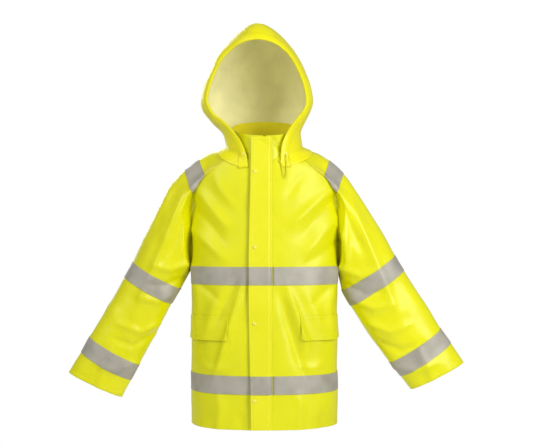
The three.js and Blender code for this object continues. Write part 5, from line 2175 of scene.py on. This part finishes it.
@dataclass
class Drawcord:
    """The hood's drawcord: in its tunnel, out of the left eyelet, and back in a narrow hanging loop."""

    tailor: Tailor
    hood: Hood
    diameter: float = 0.003
    route: tuple[tuple[float, float, float], ...] = (
        (0.059, -0.0997, -0.024), (0.0592, -0.1024, -0.0248),
        (0.0598, -0.1046, -0.028), (0.0602, -0.1056, -0.036),
        (0.0605, -0.1061, -0.05), (0.0604, -0.1068, -0.066),
        (0.0596, -0.1075, -0.08), (0.0576, -0.1078, -0.089),
        (0.0546, -0.1079, -0.0926), (0.0518, -0.1078, -0.089),
        (0.0502, -0.1075, -0.08), (0.049, -0.1073, -0.067),
        (0.0479, -0.1072, -0.055), (0.0452, -0.107, -0.047),
        (0.042, -0.1052, -0.043), (0.0396, -0.1016, -0.041),
    )

    def make(self) -> None:
        """Builds the loop, the cord in the tunnel and the two eyelets."""
        dye = self.tailor.wardrobe
        path = smooth_path(list(self.route))
        loop = tube("drawcord_loop_cord", path, self.diameter / 2, dye.cord)
        self.bend(loop, "drawcord_loop", "cord")
        widths = np.array([0.0, 0.0125])
        tunnel = self.hood.skin.draped(self.hood.skin.beside_face(widths)[:, 1], -0.0035, 0.0008)
        cord = tube("hood_drawcord_cord", tunnel[18:-18], self.diameter / 2, dye.cord, 10)
        self.bend(cord, "hood_drawcord", "cord")
        for side in Side:
            low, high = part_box(f"eyelet_{side.word}")
            seat = (low + high) / 2
            out = Vector((side.value * 0.34, -0.92, 0.1)).normalized()
            seat -= out * 0.0016
            ring = [
                (0.0026, 0.0), (0.0026, 0.0026), (0.0031, 0.0033), (0.0043, 0.0035), (0.0053, 0.003),
                (0.0055, 0.0024), (0.0052, 0.0018), (0.0033, 0.0016), (0.0033, 0.0),
            ]
            piece = turned(f"eyelet_{side.word}_ring", ring, seat, out, dye.snap)
            self.bend(piece, f"eyelet_{side.word}", "nickel")

    def bend(self, piece: bpy.types.Object, node: str, slot: str) -> None:
        """Bakes a piece's transform into its mesh and hides the part it replaces."""
        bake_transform(piece)
        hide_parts(node)


# ---------- studio ----------
@dataclass
class Studio:
    """Camera, lights, world and floor."""

    eye: tuple[float, float, float] = (0.0057, -3.2, -0.212)
    lens: float = 75.6
    floor_level: float = -1.45
    floor_size: float = 6.0

    def camera(self) -> None:
        """Adds the camera, level and facing the jacket's front."""
        bpy.ops.object.camera_add(location=self.eye, rotation=(math.pi / 2, 0, 0))
        camera = bpy.context.object
        camera.name = "studio_camera"
        camera.data.lens = self.lens
        camera.data.sensor_width = 36.0
        bpy.context.scene.camera = camera

    def light(
        self, name: str, place: tuple[float, float, float], size: tuple[float, float], power: float
    ) -> None:
        """Adds a rectangular light that looks at the chest.

        Args:
            name: its name.
            place: where it stands.
            size: its width and height.
            power: its power in watts.
        """
        bpy.ops.object.light_add(type="AREA", location=place)
        lamp = bpy.context.object
        lamp.name = name
        lamp.data.shape = "RECTANGLE"
        lamp.data.size, lamp.data.size_y = size
        lamp.data.energy = power
        lamp.rotation_euler = (Vector((0, 0, -0.25)) - Vector(place)).to_track_quat("-Z", "Y").to_euler()

    def make(self) -> None:
        """Builds the lights, the world and the floor."""
        self.light("key_light", (1.3, -1.6, 0.35), (0.9, 1.5), 31.0)
        self.light("strip_light", (-1.7, -1.7, 1.3), (0.3, 1.9), 22.0)
        self.light("fill_light", (-1.5, -3.3, 0.5), (2.2, 1.6), 10.0)
        self.light("back_light", (-1.0, 2.9, 1.1), (2.4, 2.0), 60.0)
        world = bpy.data.worlds.new("studio_world")
        bpy.context.scene.world = world
        world.use_nodes = True
        tree = world.node_tree
        background = tree.nodes["Background"]
        background.inputs["Color"].default_value = (1, 1, 1, 1)
        seen = tree.nodes.new("ShaderNodeLightPath")
        strength = tree.nodes.new("ShaderNodeMapRange")
        strength.inputs["To Min"].default_value = 0.36
        strength.inputs["To Max"].default_value = 1.0
        tree.links.new(seen.outputs["Is Camera Ray"], strength.inputs["Value"])
        tree.links.new(strength.outputs["Result"], background.inputs["Strength"])
        bpy.ops.mesh.primitive_plane_add(size=self.floor_size, location=(0, 0, self.floor_level))
        floor = bpy.context.object
        floor.name = "studio_floor"
        floor.data.materials.append(PaleFloor().make())
        bpy.context.scene.view_settings.view_transform = "Standard"
        bpy.ops.object.select_all(action="DESELECT")


def main() -> None:
    """Builds the jacket and its studio."""
    studio = Studio()
    studio.camera()
    wardrobe = Wardrobe()
    tailor = Tailor(wardrobe)
    drape = Drape(placed_folds())
    torso = TorsoSkin(drape)
    hood = Hood(tailor, HoodSkin(torso, drape))
    Drawcord(tailor, hood).make()
    BodyPanels(tailor, torso).make()
    for side in Side:
        Sleeve(tailor, side, SleeveSkin(side, torso, drape)).make()
    Collar(tailor).make()
    hood.make()
    StormFlap(tailor, torso).make()
    Zip(tailor).make()
    for side in Side:
        Pocket(tailor, side, torso).make()
    studio.make()
    for name, (width, length, area) in tailor.flat_sizes.items():
        log.info("flat %s: %.0f x %.0f mm, %.0f cm2", name, width * 1000, length * 1000, area * 10000)


if __name__ == "__main__":
    main()
